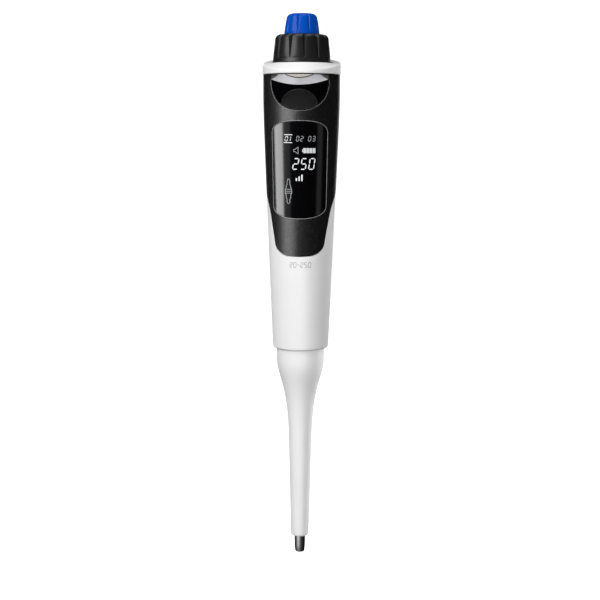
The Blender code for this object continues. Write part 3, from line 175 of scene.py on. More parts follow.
POST_RADIUS = 0.0014
POST_FRONT = -0.0180

# Cap
CAP_OVERHANG = 0.00035
CAP_RISE = 0.0057
CAP_TILT = radians(10.5)
CAP_ROUND = 0.0008
CAP_FOOT_ROUND = 0.0002
CAP_FLOOR = 0.0023
CAP_SPIGOT = 0.0024
CAP_SKIN = 0.0012
CAP_NOTCH = 0.0146
CAP_NOTCH_BAND = 0.0008
PLINTH_SINK = 0.0003
PLINTH_RADIUS = 0.01428
PLINTH_ROUND = 0.00025
PLINTH_LEDGE = 0.0002
PLINTH_BLEND = 0.0006
CAP_BORE = 0.0071
BOSS_WALL = 0.0020
BOSS_DEPTH = 0.0017

# Setting wheel and ejector button; a groove is half its angle and its depth
WHEEL_RADIUS = 0.01388
WHEEL_BORE = 0.0090
WHEEL_LOBES = 12
WHEEL_TURN = radians(8.7)
WHEEL_PLAIN_FOOT = 0.0018
WHEEL_GROOVE_LOW = (radians(1.2), 0.00030)
WHEEL_GROOVE_HIGH = (radians(4.4), 0.00100)
WHEEL_PILLOW = 0.00022
WHEEL_HUB_HOLE = 0.0070
WHEEL_SHOULDER = 0.0018
WHEEL_CLIMB_REST = 0.003
WHEEL_GROOVE_START = 0.08
WHEEL_BORE_RIM = 0.0004
WHEEL_BORE_BAND = 0.0020
BUTTON_RADIUS = 0.0083
BUTTON_LOBES = 9
BUTTON_TURN = radians(-11.3)
BUTTON_GROOVE_LOW = (radians(1.6), 0.00012)
BUTTON_GROOVE_HIGH = (radians(5.5), 0.00080)
BUTTON_PILLOW = 0.00012
BUTTON_GROOVE_DROP = 0.0100
BUTTON_GROOVE_CLIMB = 0.0085
BUTTON_GROOVE_START = 0.2
BUTTON_FLAT = 0.0048
BUTTON_FLAT_BAND = 0.0018
BUTTON_SOCKET = 0.0031
BUTTON_ROOF = 0.0058

# Sleeve and nozzle
SLEEVE_RADIUS = 0.0117
SLEEVE_WALL = 0.0010
SLEEVE_FOOT_RADIUS = 0.0045
SLEEVE_MOUTH = 0.0031
SLEEVE_LIP = 0.0034
SLEEVE_ROUND = 0.00144
SLEEVE_THROAT = 0.0040
SWEEP_DROP = 0.0035
SWEEP_LENGTH = 0.0440
SWEEP_FOOT_RADIUS = 0.0056
SWEEP_WAIST = 2.6
SWEEP_POWER = 2.5
NOZZLE_RADIUS = 0.0027
NOZZLE_TIP_RADIUS = 0.0023
AIR_HOLE = 0.0011
BARREL_FOOT = 0.0645
BARREL_RADIUS = 0.00435
BARREL_BORE = 0.00315
SEAL_HOUSING_RADIUS = 0.0059
SEAL_BORE = 0.0053
SEAL_FLOOR = 0.0970
FLANGE_RADIUS = 0.0067
FLANGE_HEIGHT = 0.1000

# Return spring
SPRING_WIRE = 0.00032
SPRING_TURNS = 5

# Floor, lamps and camera
FLOOR_DROP = 0.0006
FLOOR_REACH = 2.6
FLOOR_CURVE = 0.6
WALL_TOP = 1.5
SURROUND = 0.18
AIM_HEIGHT = 0.19
CAMERA_SENSOR = 36.0
CAMERA_LENS = 72.66
CAMERA_TURN = radians(3.2)
CAMERA_DISTANCE = 0.580
CAMERA_HEIGHT = 0.2106
CAMERA_SIDE = -0.00037
CAMERA_TILT = radians(90 - 8.27)
CAMERA_ROLL = radians(0.235)

# Finishes
BROAD_GRAIN = 60.0
FINE_DETAIL = 1.5
NOISE_MIDDLE = (0.3, 0.7)
FLECK_PEAKS = (0.60, 0.74)
RELIEF_DEPTH = 0.0002


def joined(*columns):
    """Values side by side, as the last axis of one array."""
    return np.stack(np.broadcast_arrays(*columns), axis=-1)


def full_turn(count):
    """Angles spread evenly round a whole turn."""
    return np.linspace(0, 2 * pi, count, endpoint=False)


def circle(turn):
    """Points of a circle of radius 1 at some angles."""
    return joined(np.cos(turn), np.sin(turn))


def quarter(radius, steps):
    """A quarter circle's distances from the two sides of the corner that it rounds over."""
    turn = np.linspace(0, pi / 2, steps)
    return radius * (1 - np.cos(turn)), radius * (1 - np.sin(turn))


def swung(radius, turn, height):
    """Points about the axis at some radii, angles and heights."""
    return joined(radius * np.cos(turn), radius * np.sin(turn), height)


def half_width(height):
    """Half the housing's width: a straight taper that rolls upright at the shoulder."""
    below = np.maximum(0.0, HOUSING_TOP - SHOULDER_DROP - height)
    return HALF_WIDTH_TOP - TAPER * (np.hypot(below, SHOULDER_ROLL) - SHOULDER_ROLL)


def half_depth(height):
    """Half the housing's depth: round at the mouth and a little deeper than wide on top."""
    share = np.clip((height - HOUSING_BOTTOM) / (HOUSING_TOP - HOUSING_BOTTOM), 0.0, 1.0)
    return half_width(height) + EXTRA_DEPTH * share


def on_front(x, height, proud):
    """Points on the housing's front: y lies on the level oval grown by proud."""
    across = half_width(height) + proud
    deep = half_depth(height) + proud
    y = -deep * np.sqrt(np.maximum(0.0, 1 - (x / across) ** 2))
    return joined(x, y, height)


def eased(value):
    """Nothing below 0, all above 1, and a smooth rise between."""
    share = np.clip(value, 0.0, 1.0)
    return share * share * (3 - 2 * share)


def squared(turn, power):
    """The cosine with its size raised to a power, which squares an oval off where it is below 1."""
    return np.sign(np.cos(turn)) * np.abs(np.cos(turn)) ** power


def between(low, high, share):
    """Each value of low moved by a share of the way to its fellow in high."""
    return [start + (end - start) * share for start, end in zip(low, high)]


def values_of(items, field, width=1, kind=float):
    """One value, or width values, of each of a mesh's items, one after the other."""
    values = np.empty(len(items) * width, kind)
    items.foreach_get(field, values)
    return values


def rounded(corners, closed=False, steps=7):
    """A line through (across, height, round) corners; each is eased by a quadratic curve."""
    spots = np.array([corner[:2] for corner in corners])
    line = []
    for number, (spot, ease) in enumerate(zip(spots, [corner[2] for corner in corners])):
        inner = closed or 0 < number < len(spots) - 1
        if ease == 0.0 or not inner:
            line.append(spot[None])
            continue
        before = spots[number - 1] - spot
        after = spots[(number + 1) % len(spots)] - spot
        start = spot + before / np.hypot(*before) * ease
        end = spot + after / np.hypot(*after) * ease
        share = np.linspace(0, 1, steps)[:, None]
        line.append((1 - share) ** 2 * start + 2 * share * (1 - share) * spot + share**2 * end)
    return np.vstack(line)


def evened(outline, count):
    """A closed outline resampled so that its points lie evenly along it."""
    looped = np.vstack([outline, outline[:1]])
    length = np.concatenate([[0.0], np.cumsum(np.hypot(*np.diff(looped, axis=0).T))])
    at = np.linspace(0, length[-1], count, endpoint=False)
    return joined(*[np.interp(at, length, looped[:, side]) for side in (0, 1)])


def settled(name, points, faces, finish, body, stands_for=(), slot=None, crease=CREASE,
            closed=True):
    """Make a mesh, merge doubles, close what is open, turn the faces outwards and let it ride."""
    mesh = bpy.data.meshes.new(name)
    mesh.from_pydata((points + (0.0, AXIS_Y, NOZZLE_END)).tolist(), [], faces.tolist())
    work = bmesh.new()
    work.from_mesh(mesh)
    bmesh.ops.remove_doubles(work, verts=work.verts, dist=MERGE)
    if closed:
        edges = [edge for edge in work.edges if edge.is_boundary]
        bmesh.ops.holes_fill(work, edges=edges, sides=0)
    bmesh.ops.recalc_face_normals(work, faces=work.faces)
    work.to_mesh(mesh)
    work.free()
    mesh.shade_smooth()
    mesh.set_sharp_from_angle(angle=radians(crease))
    piece = bpy.data.objects.new(name, mesh)
    bpy.context.scene.collection.objects.link(piece)
    if finish:
        mesh.materials.append(finish)
    if stands_for:
        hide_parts(*stands_for)
    if body:
        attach(piece, body)
    return piece


def quads_of(rows, columns, around, along):
    """Corner numbers of the quads that join a grid of points."""
    index = np.arange(rows * columns).reshape(rows, columns)
    low = index if along else index[:-1]
    high = np.roll(index, -1, axis=0) if along else index[1:]
    quads = joined(low, np.roll(low, -1, axis=1), np.roll(high, -1, axis=1), high)
    return quads if around else quads[:, :-1]


def skin(name, points, finish, body, around=True, along=False, left_out=None, **options):
    """A surface over a grid of points; around closes each row, along joins last and first rows."""
    quads = quads_of(*points.shape[:2], around, along)
    if left_out is not None:
        quads = quads[~left_out]
    return settled(name, points.reshape(-1, 3), quads.reshape(-1, 4), finish, body, **options)


def turned(profile, columns):
    """A profile of (radius, height) turned about the axis."""
    return swung(profile[:, :1], full_turn(columns), profile[:, 1:])


def fluted(profile, count, turn, half, depth, pillow):
    """A turned profile with count notches whose sides are straight.

    half is half a notch's angle and depth its depth, row by row. Between two notches the
    radius swells by pillow x (1 - s x s), where s runs from -1 to 1 across the panel.
    """
    period = 2 * pi / count
    notch = np.linspace(-1, 1, 9)
    panel = np.linspace(-1, 1, 19)[1:-1]
    half = half[:, None]
    offset = np.hstack([half * notch, period / 2 + (period / 2 - half) * panel])
    cut = np.hstack([depth[:, None] * (1 - np.abs(notch)), 0 * half + 0 * panel])
    swell = np.append(0 * notch, pillow * (1 - panel**2))
    swell = swell * np.minimum(1.0, 2 * depth / depth.max())[:, None]
    angle = turn - pi / 2 + period * np.arange(count)[:, None] + offset[:, None, :]
    radius = np.maximum(profile[:, 0, None, None] + (swell - cut)[:, None, :], 0.0)
    points = swung(radius, angle, profile[:, 1, None, None])
    return points.reshape(len(profile), -1, 3)


def finer(profile, parts):
    """A line with each stretch divided into parts."""
    share = np.arange(parts)[:, None, None] / parts
    steps = profile[:-1] + (profile[1:] - profile[:-1]) * share
    return np.vstack([steps.transpose(1, 0, 2).reshape(-1, 2), profile[-1:]])


def carved(piece, operation, *others):
    """Cut closed shapes out of a piece, or weld them on, for good, and take them away again."""
    for other in others:
        change = piece.modifiers.new("change", "BOOLEAN")
        change.operation = operation
        change.solver = "EXACT"
        change.object = other
        with bpy.context.temp_override(object=piece, active_object=piece):
            bpy.ops.object.modifier_apply(modifier=change.name)
        bpy.data.objects.remove(other, do_unlink=True)
    piece.data.shade_smooth()
    piece.data.set_sharp_from_angle(angle=radians(CREASE))
    return piece


def extruded(name, outline, start, end, axis):
    """A closed outline carried along one axis: 0 is across, 1 is front to back."""
    columns = list(outline.T)
    columns.insert(axis, np.array([[start], [end]]))
    return skin(name, joined(*columns), None, None)


def ring_of(centre, radius):
    """A circle as a closed outline."""
    return centre + radius * circle(full_turn(32))


def window_outline(inset):
    """A squared arch above and a squared smile below: half ovals of sines raised to a power."""
    turn = np.linspace(0, pi, 90)
    upright = np.sin(turn)
    arch_x = (WINDOW_HALF_TOP - inset) * squared(turn, ARCH_SQUARENESS)
    arch_h = WINDOW_TOP - WINDOW_ARCH + (WINDOW_ARCH - inset) * upright**ARCH_SQUARENESS
    smile_x = (inset - WINDOW_HALF_FOOT) * squared(turn, SMILE_SQUARENESS)
    smile_h = WINDOW_FOOT + WINDOW_SMILE - (WINDOW_SMILE - inset) * upright**SMILE_SQUARENESS
    outline = joined(np.append(arch_x, smile_x), np.append(arch_h, smile_h))
    return evened(outline, OUTLINE_POINTS)


def ridge(x):
    """The crest of the trigger, lowest in the middle: a parabola between its corners."""
    return KEY_TOP - CRESCENT_DIP * (1 - np.minimum(1.0, (x / KEY_HALF_WIDTH) ** 2))


def key_foot(x, inset):
    """The trigger's lower edge: a squared half oval under its corners."""
    along = np.minimum(1.0, np.abs(x) / (KEY_HALF_WIDTH - inset)) ** (1 / KEY_SQUARENESS)
    deep = KEY_TOP - KEY_FOOT - inset
    return KEY_TOP - deep * np.sqrt(1 - along**2) ** KEY_SQUARENESS


def key_outline(inset, top):
    """The trigger from the front: its lower edge and a line top(x) over it."""
    half = KEY_HALF_WIDTH - inset
    turn = np.linspace(pi, 2 * pi, 120)
    x = half * squared(turn, KEY_SQUARENESS)
    back = np.linspace(half, -half, 60)
    height = np.append(key_foot(x, inset), top(back))
    return evened(joined(np.append(x, back), height), OUTLINE_POINTS)


def pad_outline():
    """The finger pad from the front: an oval whose foot follows the key's lower edge."""
    turn = full_turn(240)
    x = PAD_HALF_WIDTH * np.cos(turn)
    height = np.maximum(PAD_CENTRE + PAD_RISE * np.sin(turn), key_foot(x, KEY_GAP) + PAD_FLOOR)
    return evened(joined(x, height), PAD_POINTS)


def key_proud(x, height):
    """How far the trigger stands off the housing: a power of the way up to its ridge."""
    foot = KEY_FOOT - KEY_SWELL_DROP
    share = np.clip((height - foot) / (ridge(x) - foot), 0.0, 1.0)
    return KEY_PROUD_FOOT + (KEY_PROUD_TOP - KEY_PROUD_FOOT) * share**KEY_SWELL


def pad_proud(x, height):
    """The pad's floor: a shallow step below the key and a round hollow within."""
    reach = np.hypot(x / PAD_HALF_WIDTH, (height - PAD_CENTRE) / PAD_RISE)
    return key_proud(x, height) - PAD_STEP - PAD_HOLLOW * np.maximum(0.0, 1 - reach**2)


def slope_proud(x, rise):
    """How far the slope stands off: less from ridge to cap, and folded back at its ends."""
    beyond = np.maximum(0.0, np.abs(x) / (KEY_HALF_WIDTH - KEY_GAP) - (1 - FACET_WIDTH * rise))
    return KEY_PROUD_TOP * (1 - rise) + GAP * rise - FACET_SINK * beyond / FACET_WIDTH


def patch(outline, centre, proud, thickness):
    """Rings that shrink from an outline to its centre, laid on the front, and a back behind them.

    A ring's points are centre + share x (outline - centre); the rim is rounded over.
    """
    share = np.concatenate([np.linspace(0.0, 0.97, 40), 1 - 0.03 * np.linspace(0.9, 0.0, 8) ** 2])
    lift = np.zeros_like(share)
    rim = np.linspace(0, pi / 2, 5)
    span = np.hypot(*(outline - centre).T).mean()
    share = np.append(share * (1 - PATCH_ROUND / span), 1 - PATCH_ROUND / span * (1 - np.sin(rim)))
    lift = np.append(lift, -PATCH_ROUND * (1 - np.cos(rim)))
    share = np.append(share, [1.0, 0.5, 0.0])
    lift = np.append(lift, [-thickness] * 3)
    spots = centre + share[:, None, None] * (outline - centre)
    x = spots[..., 0]
    height = spots[..., 1]
    return on_front(x, height, proud(x, height) + lift[:, None])


def wire(path, out, radius, sides, closed=False):
    """A circle carried along a path of points; out is a direction across the path at each."""
    if closed:
        along = np.roll(path, -1, axis=0) - np.roll(path, 1, axis=0)
    else:
        along = np.gradient(path, axis=0)
    along /= np.linalg.norm(along, axis=1)[:, None]
    across = np.cross(along, out)
    turn = full_turn(sides)[:, None, None]
    return path + radius * (np.cos(turn) * out + np.sin(turn) * across)


def bead(name, path, radius, finish, body, closed=True):
    """A fine round line on the front: a circle carried along a path of points."""
    out = path * (1.0, 1.0, 0.0)
    out /= np.linalg.norm(out, axis=1)[:, None]
    points = wire(path, out, radius, 8, closed)
    skin(name, points, finish, body, around=closed, along=True, slot="satin_black")


def smooth_through(at, places, values):
    """A line through values; the slope at each is its neighbours' mean, held from overshooting."""
    step = np.diff(values) / np.diff(places)
    slope = np.concatenate([step[:1], (step[:-1] + step[1:]) / 2, step[-1:]])
    slope[1:-1] = np.minimum(slope[1:-1], SLOPE_LIMIT * np.minimum(step[:-1], step[1:]))
    index = np.clip(np.searchsorted(places, at, side="right") - 1, 0, len(step) - 1)
    width = places[index + 1] - places[index]
    t = np.clip((at - places[index]) / width, 0.0, 1.0)
    after = index + 1
    start = (1 + 2 * t) * (1 - t) ** 2 * values[index] + t * (1 - t) ** 2 * width * slope[index]
    return start + t * t * (3 - 2 * t) * values[after] + t * t * (t - 1) * width * slope[after]


def seam_angle(height):
    """Half the fascia's reach round the housing, smooth over the root of height above its foot."""
    rise, reach = np.array(SEAM_LINE).T
    above = np.sqrt(np.maximum(0.0, height - SEAM_FOOT))
    return smooth_through(above, np.sqrt(rise / 1000), np.radians(reach))


def seam_heights(count):
    """Heights from just above the seam's foot, close together where the seam turns quickly."""
    share = np.linspace(SEAM_FIRST_SHARE, 1.0, count) ** SEAM_CROWDING
    return SEAM_FOOT + (HOUSING_TOP - SEAM_FOOT) * share


def wall_rows(height, inset, start, end, open_edge, middle):
    """Level sections of the wall: round the outer side from start to end, then back inside.

    middle gives each column's share of the way from start to end. The two outer edges are
    rounded over by a quarter circle where open_edge is 1. The first and the last section are
    there twice, once with the outer side laid on the inner one, which closes the wall's ends.
    """
    height = height[:, None]
    radius = half_width(height)
    beside, below = quarter(EDGE_ROUND, 5)
    near = beside[:-1] / radius
    drop = -below[:-1] * open_edge[:, None]
    low = start[:, None]
    high = end[:, None]
    span = low + EDGE_ROUND / radius + (high - low - 2 * EDGE_ROUND / radius) * middle
    outer = np.hstack([low + near, span, high - near[:, ::-1]])
    lift = np.hstack([drop, 0 * span, drop[:, ::-1]]) - inset[:, None]
    angle = np.hstack([outer, outer[:, ::-1]])
    lift = np.hstack([lift, 0 * outer - WALL])
    x = (half_width(height) + lift) * np.sin(angle)
    y = -(half_depth(height) + lift) * np.cos(angle)
    rows = joined(x, y, height)
    count = outer.shape[1]
    ends = [np.concatenate([row[count:][::-1], row[count:]])[None] for row in (rows[0], rows[-1])]
    return np.concatenate([ends[0], rows, ends[1]]), (count - 1, 2 * count - 1)


def rear_shell(finish):
    """The white half: a closed tube below the seam's foot and an open wall above it.

    A column moves aside for the seam by the seam's angle x exp(-angle / fade), so that columns
    away from the seam stay upright. The fade grows with the seam's angle and its fourth power.
    """
    rise, inward = quarter(MOUTH_ROUND, 6)
    mouth = HOUSING_BOTTOM + rise
    straight = np.linspace(HOUSING_BOTTOM + 2 * MOUTH_ROUND, SEAM_FOOT - GAP, 28)
    above = seam_heights(90)
    height = np.concatenate([mouth, straight, above])
    below = len(mouth) + len(straight)
    inset = np.append(inward, np.zeros(len(straight) + len(above)))
    is_open = np.append(np.zeros(below), np.ones(len(above)))
    start = is_open * (seam_angle(height + GAP) + SEAM_GAP / half_width(height))
    turn = 2 * pi * np.linspace(0, 1, 150)
    nearest = np.minimum(turn, 2 * pi - turn)
    low = start[:, None]
    fade = COLUMN_FADE[0] + COLUMN_FADE[1] * low + COLUMN_FADE[2] * low**4
    last = np.exp(-pi / fade)
    shift = low * (np.exp(-nearest / fade) - last) / (1 - last)
    share = (turn + np.where(turn < pi, shift, -shift) - low) / (2 * (pi - low))
    points, joints = wall_rows(height, inset, start, 2 * pi - start, is_open, share)
    left_out = np.zeros((points.shape[0] - 1, points.shape[1]), bool)
    left_out[:below, list(joints)] = True
    shell = skin(
        "rear_shell", points, finish, "root", left_out=left_out,
        stands_for=("rear_housing",), slot="housing_white",
    )
    rings = [ring_of((x, CHARGE_HEIGHT), CHARGE_RADIUS) for x in (-CHARGE_X, CHARGE_X)]
    ways = [extruded("charge_way", ring, CUT_NEAR, CUT_FAR, 1) for ring in rings]
    return true_shading(carved(shell, "DIFFERENCE", *ways))


def fascia(finish):
    """The black front: the wall between the two seam edges, with the window and trigger cut out."""
    height = seam_heights(150)
    reach = seam_angle(height)
    points, _ = wall_rows(height, 0 * height, -reach, reach, 0 * height + 1, np.linspace(0, 1, 110))
    piece = skin(
        "fascia", points, finish, "root", stands_for=("front_fascia",), slot="satin_black",
    )
    open_top = key_outline(0.0, lambda x: HOUSING_TOP + CUT_PAST + 0 * x)
    window = extruded("window_way", window_outline(0.0), -CUT_FAR, -CUT_NEAR, 1)
    trigger = extruded("trigger_way", open_top, -CUT_FAR, -CUT_NEAR, 1)
    return true_shading(carved(piece, "DIFFERENCE", window, trigger))


def true_shading(piece):
    """Light the outer side by the oval's own slope: the gradient of (x / a)^2 + (y / b)^2."""
    mesh = piece.data
    corner = values_of(mesh.loops, "vertex_index", kind=int)
    spot = values_of(mesh.vertices, "co", 3).reshape(-1, 3)[corner]
    x, y, height = (spot - (0.0, AXIS_Y, NOZZLE_END)).T
    across = half_width(height)
    deep = half_depth(height)
    wider = (half_width(height + SLOPE_STEP) - across) / SLOPE_STEP
    deeper = (half_depth(height + SLOPE_STEP) - deep) / SLOPE_STEP
    climb = -(x**2) * wider / across**3 - y**2 * deeper / deep**3
    normal = joined(x / across**2, y / deep**2, climb)
    normal /= np.linalg.norm(normal, axis=1)[:, None]
    sides = values_of(mesh.polygons, "loop_total", kind=int)
    flat = np.repeat(values_of(mesh.polygons, "normal", 3).reshape(-1, 3), sides, axis=0)
    facing = (flat * normal).sum(axis=1)
    outer = (np.abs(np.hypot(x / across, y / deep) - 1) < OUTER_BAND) & (facing > OUTER_FACING)
    mesh.normals_split_custom_set((normal * outer[:, None]).tolist())
    return piece


def lens(finish):
    """The window: one patch of the housing's own front, set into its opening."""
    outline = window_outline(LENS_GAP)
    centre = np.array([0.0, (WINDOW_TOP + WINDOW_FOOT) / 2])
    points = patch(outline, centre, lambda x, height: 0 * x, LENS_THICKNESS)
    return skin(
        "window_lens", points, finish, "root",
        stands_for=("display_window",), slot="lens_black",
    )


def trigger_key(finish):
    """The trigger's key: rows climb its front, step in under the slope and come back inside.

    Across, x and the foot's height follow a squared half oval; two ears on the pin and a post
    that reaches the switch are welded on behind.
    """
    turn = np.linspace(pi, 2 * pi, 161)
    x = (KEY_HALF_WIDTH - KEY_GAP) * squared(turn, KEY_SQUARENESS)
    foot = KEY_TOP - (KEY_TOP - KEY_FOOT - KEY_GAP) * np.abs(np.sin(turn)) ** KEY_SQUARENESS
    crest = np.maximum(ridge(x), foot)
    top = HOUSING_TOP - KEY_UNDER_CAP + 0 * x
    lifted, sunk = (side[:-1, None] for side in quarter(EDGE_ROUND, 5))
    low = foot + lifted * (crest > foot + EDGE_ROUND)
    front = foot + (crest - foot) * np.linspace(0.02, 1, 60)[:, None]
    height = np.vstack([low, front])
    proud = key_proud(x, height)
    proud[: len(low)] -= sunk
    inside = pad_share(x, height)
    proud -= (PAD_STEP + PAD_HOLLOW + CRESCENT_PLAY) * inside
    rise = np.linspace(0, 1, 12)[:, None]
    seat = slope_proud(x, rise) - CRESCENT_THICKNESS - CRESCENT_PLAY
    back = -KEY_THICKNESS + 0 * x
    height = np.vstack([height, crest + (top - crest) * rise, top, (top + foot) / 2, foot])
    proud = np.vstack([proud, seat, back, back, back])
    key = skin(
        "trigger_pad", on_front(x, height, proud), finish, "trigger", around=False, along=True,
        stands_for=("trigger_key",), slot="gloss_black",
    )
    pivot = HOUSING_TOP - PIVOT_DROP
    ear = (PIVOT_Y, pivot) + EAR_RADIUS * circle(np.linspace(-pi / 2, pi / 2, 13))
    ear = np.vstack([ear, [[EAR_ROOT, pivot + EAR_RADIUS], [EAR_ROOT, pivot - EAR_RADIUS]]])
    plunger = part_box("switch_plunger")
    switch = (plunger[0].z + plunger[1].z) / 2 - NOZZLE_END
    post = ring_of((0.0, switch), POST_RADIUS)
    added = [
        extruded("ear_left", ear, -EAR_OUTER, -EAR_INNER, 0),
        extruded("ear_right", ear, EAR_INNER, EAR_OUTER, 0),
        extruded("post", post, POST_FRONT, plunger[0].y - AXIS_Y - GAP, 1),
    ]
    carved(key, "UNION", *added)
    way = extruded("pin_way", ring_of((PIVOT_Y, pivot), PIN_WAY), -2 * EAR_OUTER, 2 * EAR_OUTER, 0)
    return carved(key, "DIFFERENCE", way)


def pad_share(x, height):
    """1 inside the finger pad, falling to 0 in a narrow band at its edge."""
    reach = np.hypot(x / PAD_HALF_WIDTH, (height - PAD_CENTRE) / PAD_RISE)
    above = height - key_foot(x, KEY_GAP) - PAD_FLOOR
    return eased((1 - reach) / PAD_BAND) * eased(above / PAD_FOOT_BAND)


def finger_pad(finish, painted_line_finish):
    """The finger pad in the key: a hollowed patch, with a fine lighter line round it, a painted
    highlight.
    """
    outline = pad_outline()
    points = patch(outline, np.array([0.0, PAD_CENTRE]), pad_proud, PAD_STEP)
    skin("finger_pad", points, finish, "trigger", slot="satin_black")
    path = on_front(outline[:, 0], outline[:, 1], key_proud(*outline.T))
    bead("pad_edge_highlight", path, PAD_HIGHLIGHT, painted_line_finish, "trigger")


def plate(name, x, height, proud, under, finish, **options):
    """A thin plate on the trigger: outer rows that stand off by proud, inner ones by under."""
    points = np.concatenate([on_front(x, height, proud), on_front(x, height, under)[::-1]])
    return skin(
        name, points, finish, "trigger", around=False, along=True, slot="crescent_silver", **options
    )


def crescent(finish, facet_shade_finish):
    """The slope: rows from the ridge up under the cap, with a straight fold at each end. Its light
    grey is a painted reflection of the light above, and the folds take a darker copy as painted
    shade.
    """
    half = KEY_HALF_WIDTH - KEY_GAP
    rise = np.linspace(0, 1, 25)[:, None]
    fold = 1 - FACET_WIDTH * rise
    outer = np.linspace(0, 1, 13)[:-1]
    left = -1 + FACET_WIDTH * rise * outer
    side = np.hstack([left, fold * np.linspace(-1, 1, 97), -left[:, ::-1]])
    x = half * side
    top = HOUSING_TOP - KEY_UNDER_CAP
    height = ridge(x) + (top - ridge(x)) * rise
    proud = slope_proud(x, rise)
    thick = CRESCENT_THICKNESS * (np.abs(side) < 1)
    piece = plate(
        "trigger_slope", x, height, proud, proud - thick, finish,
        crease=8, stands_for=("trigger_crescent",),
    )
    mesh = piece.data
    mesh.materials.append(facet_shade_finish)
    # Faces on the end folds take the darker grey: painted shade
    x, _, height = values_of(mesh.polygons, "center", 3).reshape(-1, 3).T
    low = ridge(x)
    rise = (height - NOZZLE_END - low) / (top - low)
    beyond = np.abs(x) > half * (1 - FACET_WIDTH * rise)
    mesh.polygons.foreach_set("material_index", beyond.astype(int))


def lip(finish, painted_line_finish):
    """The pale lip under the cap: a plate whose lower edge is a parabola, laid on the slope. Its
    warm grey is a painted reflection of the white cap, and a dark line along its lower edge is a
    painted shadow.
    """
    x = LIP_HALF_WIDTH * np.linspace(-1, 1, 61)
    top = HOUSING_TOP - KEY_UNDER_CAP
    low = top - LIP_DROP * (1 - (x / LIP_HALF_WIDTH) ** 2)
    height = low + (top - low) * np.linspace(0, 1, 8)[:, None]
    rise = (height - ridge(x)) / (top - ridge(x))
    proud = slope_proud(x, rise) + LIP_PROUD
    under = proud - LIP_PROUD - GAP / 2
    plate("trigger_lip", x, height, proud, under, finish)
    path = on_front(x, low, proud[0] - GAP / 2)
    # The dark line along the lip's lower edge is a painted shadow
    bead("lip_shadow_line", path, LIP_SHADOW, painted_line_finish, "trigger", closed=False)


def cap(finish):
    """The cap: level ovals, ovals that lean with the brim, and straight lines up to the plinth."""
    slope = tan(CAP_TILT)
    across = half_width(HOUSING_TOP) + CAP_OVERHANG
    deep = half_depth(HOUSING_TOP) + CAP_OVERHANG
    skirt = HOUSING_TOP + GAP
    top = HOUSING_TOP + CAP_RISE
    plinth = top - PLINTH_SINK
    under = plinth - CAP_FLOOR
    inner = WALL + GAP + CAP_OVERHANG
    stations = [(inner, skirt - CAP_SPIGOT, 0), (inner, skirt, 0)]
    stations += [(CAP_FOOT_ROUND, skirt, 0), (0.0, skirt + CAP_FOOT_ROUND, 0)]
    stations += [(inset, top - drop, 1) for inset, drop in zip(*quarter(CAP_ROUND, 8))]
    inset, height, lean = (np.array(column)[:, None] for column in zip(*stations))
    angle = full_turn(192)
    x = (across - inset) * np.cos(angle)
    y = (deep - inset) * np.sin(angle)
    z = height + slope * lean * y
    notch = eased((np.abs(x[0]) - CAP_NOTCH) / CAP_NOTCH_BAND)
    z[0] = skirt - CAP_SPIGOT * np.where(y[0] < 0, notch, 1.0)
    rings = [joined(x, y, z)]
    brim = rings[0][-1]
    ring = (PLINTH_RADIUS + PLINTH_LEDGE) * circle(angle)
    over = top + slope * ring[:, 1] - plinth
    ring = np.column_stack([ring, plinth + (over + np.hypot(over, PLINTH_BLEND)) / 2])
    rings.append(brim + (ring - brim) * np.linspace(0, 1, 9)[1:, None, None])
    edge = (PLINTH_RADIUS, plinth) - joined(*quarter(PLINTH_ROUND, 4))
    boss = CAP_BORE + BOSS_WALL
    boss_foot = under - BOSS_DEPTH
    bore = [(CAP_BORE, plinth), (CAP_BORE, boss_foot), (boss, boss_foot), (boss, under)]
    rings.append(turned(np.vstack([edge, bore]), len(angle)))
    x = (across - inner - CAP_SKIN) * np.cos(angle)
    y = (deep - inner - CAP_SKIN) * np.sin(angle)
    roof = np.minimum(under, top + slope * y - CAP_FLOOR)
    foot = np.minimum(roof, rings[0][0, :, 2])
    rings.append(np.stack([joined(x, y, roof), joined(x, y, foot)]))
    return skin(
        "sloping_cap", np.concatenate(rings), finish, "root", along=True,
        stands_for=("top_cap",), slot="housing_white",
    )


def wheel(finish):
    """The setting wheel: notches that widen and deepen from a plain foot up over the shoulder."""
    shoulder = WHEEL_FOOT + WHEEL_SHOULDER
    corners = [
        (WHEEL_RADIUS, WHEEL_FOOT, 0.0002),
        (WHEEL_RADIUS - 0.00046, WHEEL_FOOT + 0.0024, 0.0008),
        (WHEEL_RADIUS - 0.0013, WHEEL_FOOT + 0.0098, 0.0015),
        (WHEEL_RADIUS - 0.0015, WHEEL_TOP, 0.0025),
        (WHEEL_BORE, WHEEL_TOP, 0.0005),
        (WHEEL_BORE, shoulder, 0.0),
        (WHEEL_HUB_HOLE, shoulder, 0.0),
        (WHEEL_HUB_HOLE, WHEEL_FOOT, 0.0),
    ]
    profile = finer(rounded(corners, closed=True), 5)
    reach = WHEEL_TOP - WHEEL_FOOT - WHEEL_CLIMB_REST
    climb = np.clip((profile[:, 1] - WHEEL_FOOT - WHEEL_PLAIN_FOOT) / reach, 0.0, 1.0)
    half, depth = between(WHEEL_GROOVE_LOW, WHEEL_GROOVE_HIGH, climb)
    from_bore = profile[:, 0] - WHEEL_BORE - WHEEL_BORE_RIM
    depth = depth * eased(climb / WHEEL_GROOVE_START) * eased(from_bore / WHEEL_BORE_BAND)
    points = fluted(profile, WHEEL_LOBES, WHEEL_TURN, half, depth, WHEEL_PILLOW)
    return skin(
        "grip_wheel", points, finish, "wheel", along=True,
        stands_for=("setting_wheel",), slot="wheel_black",
    )


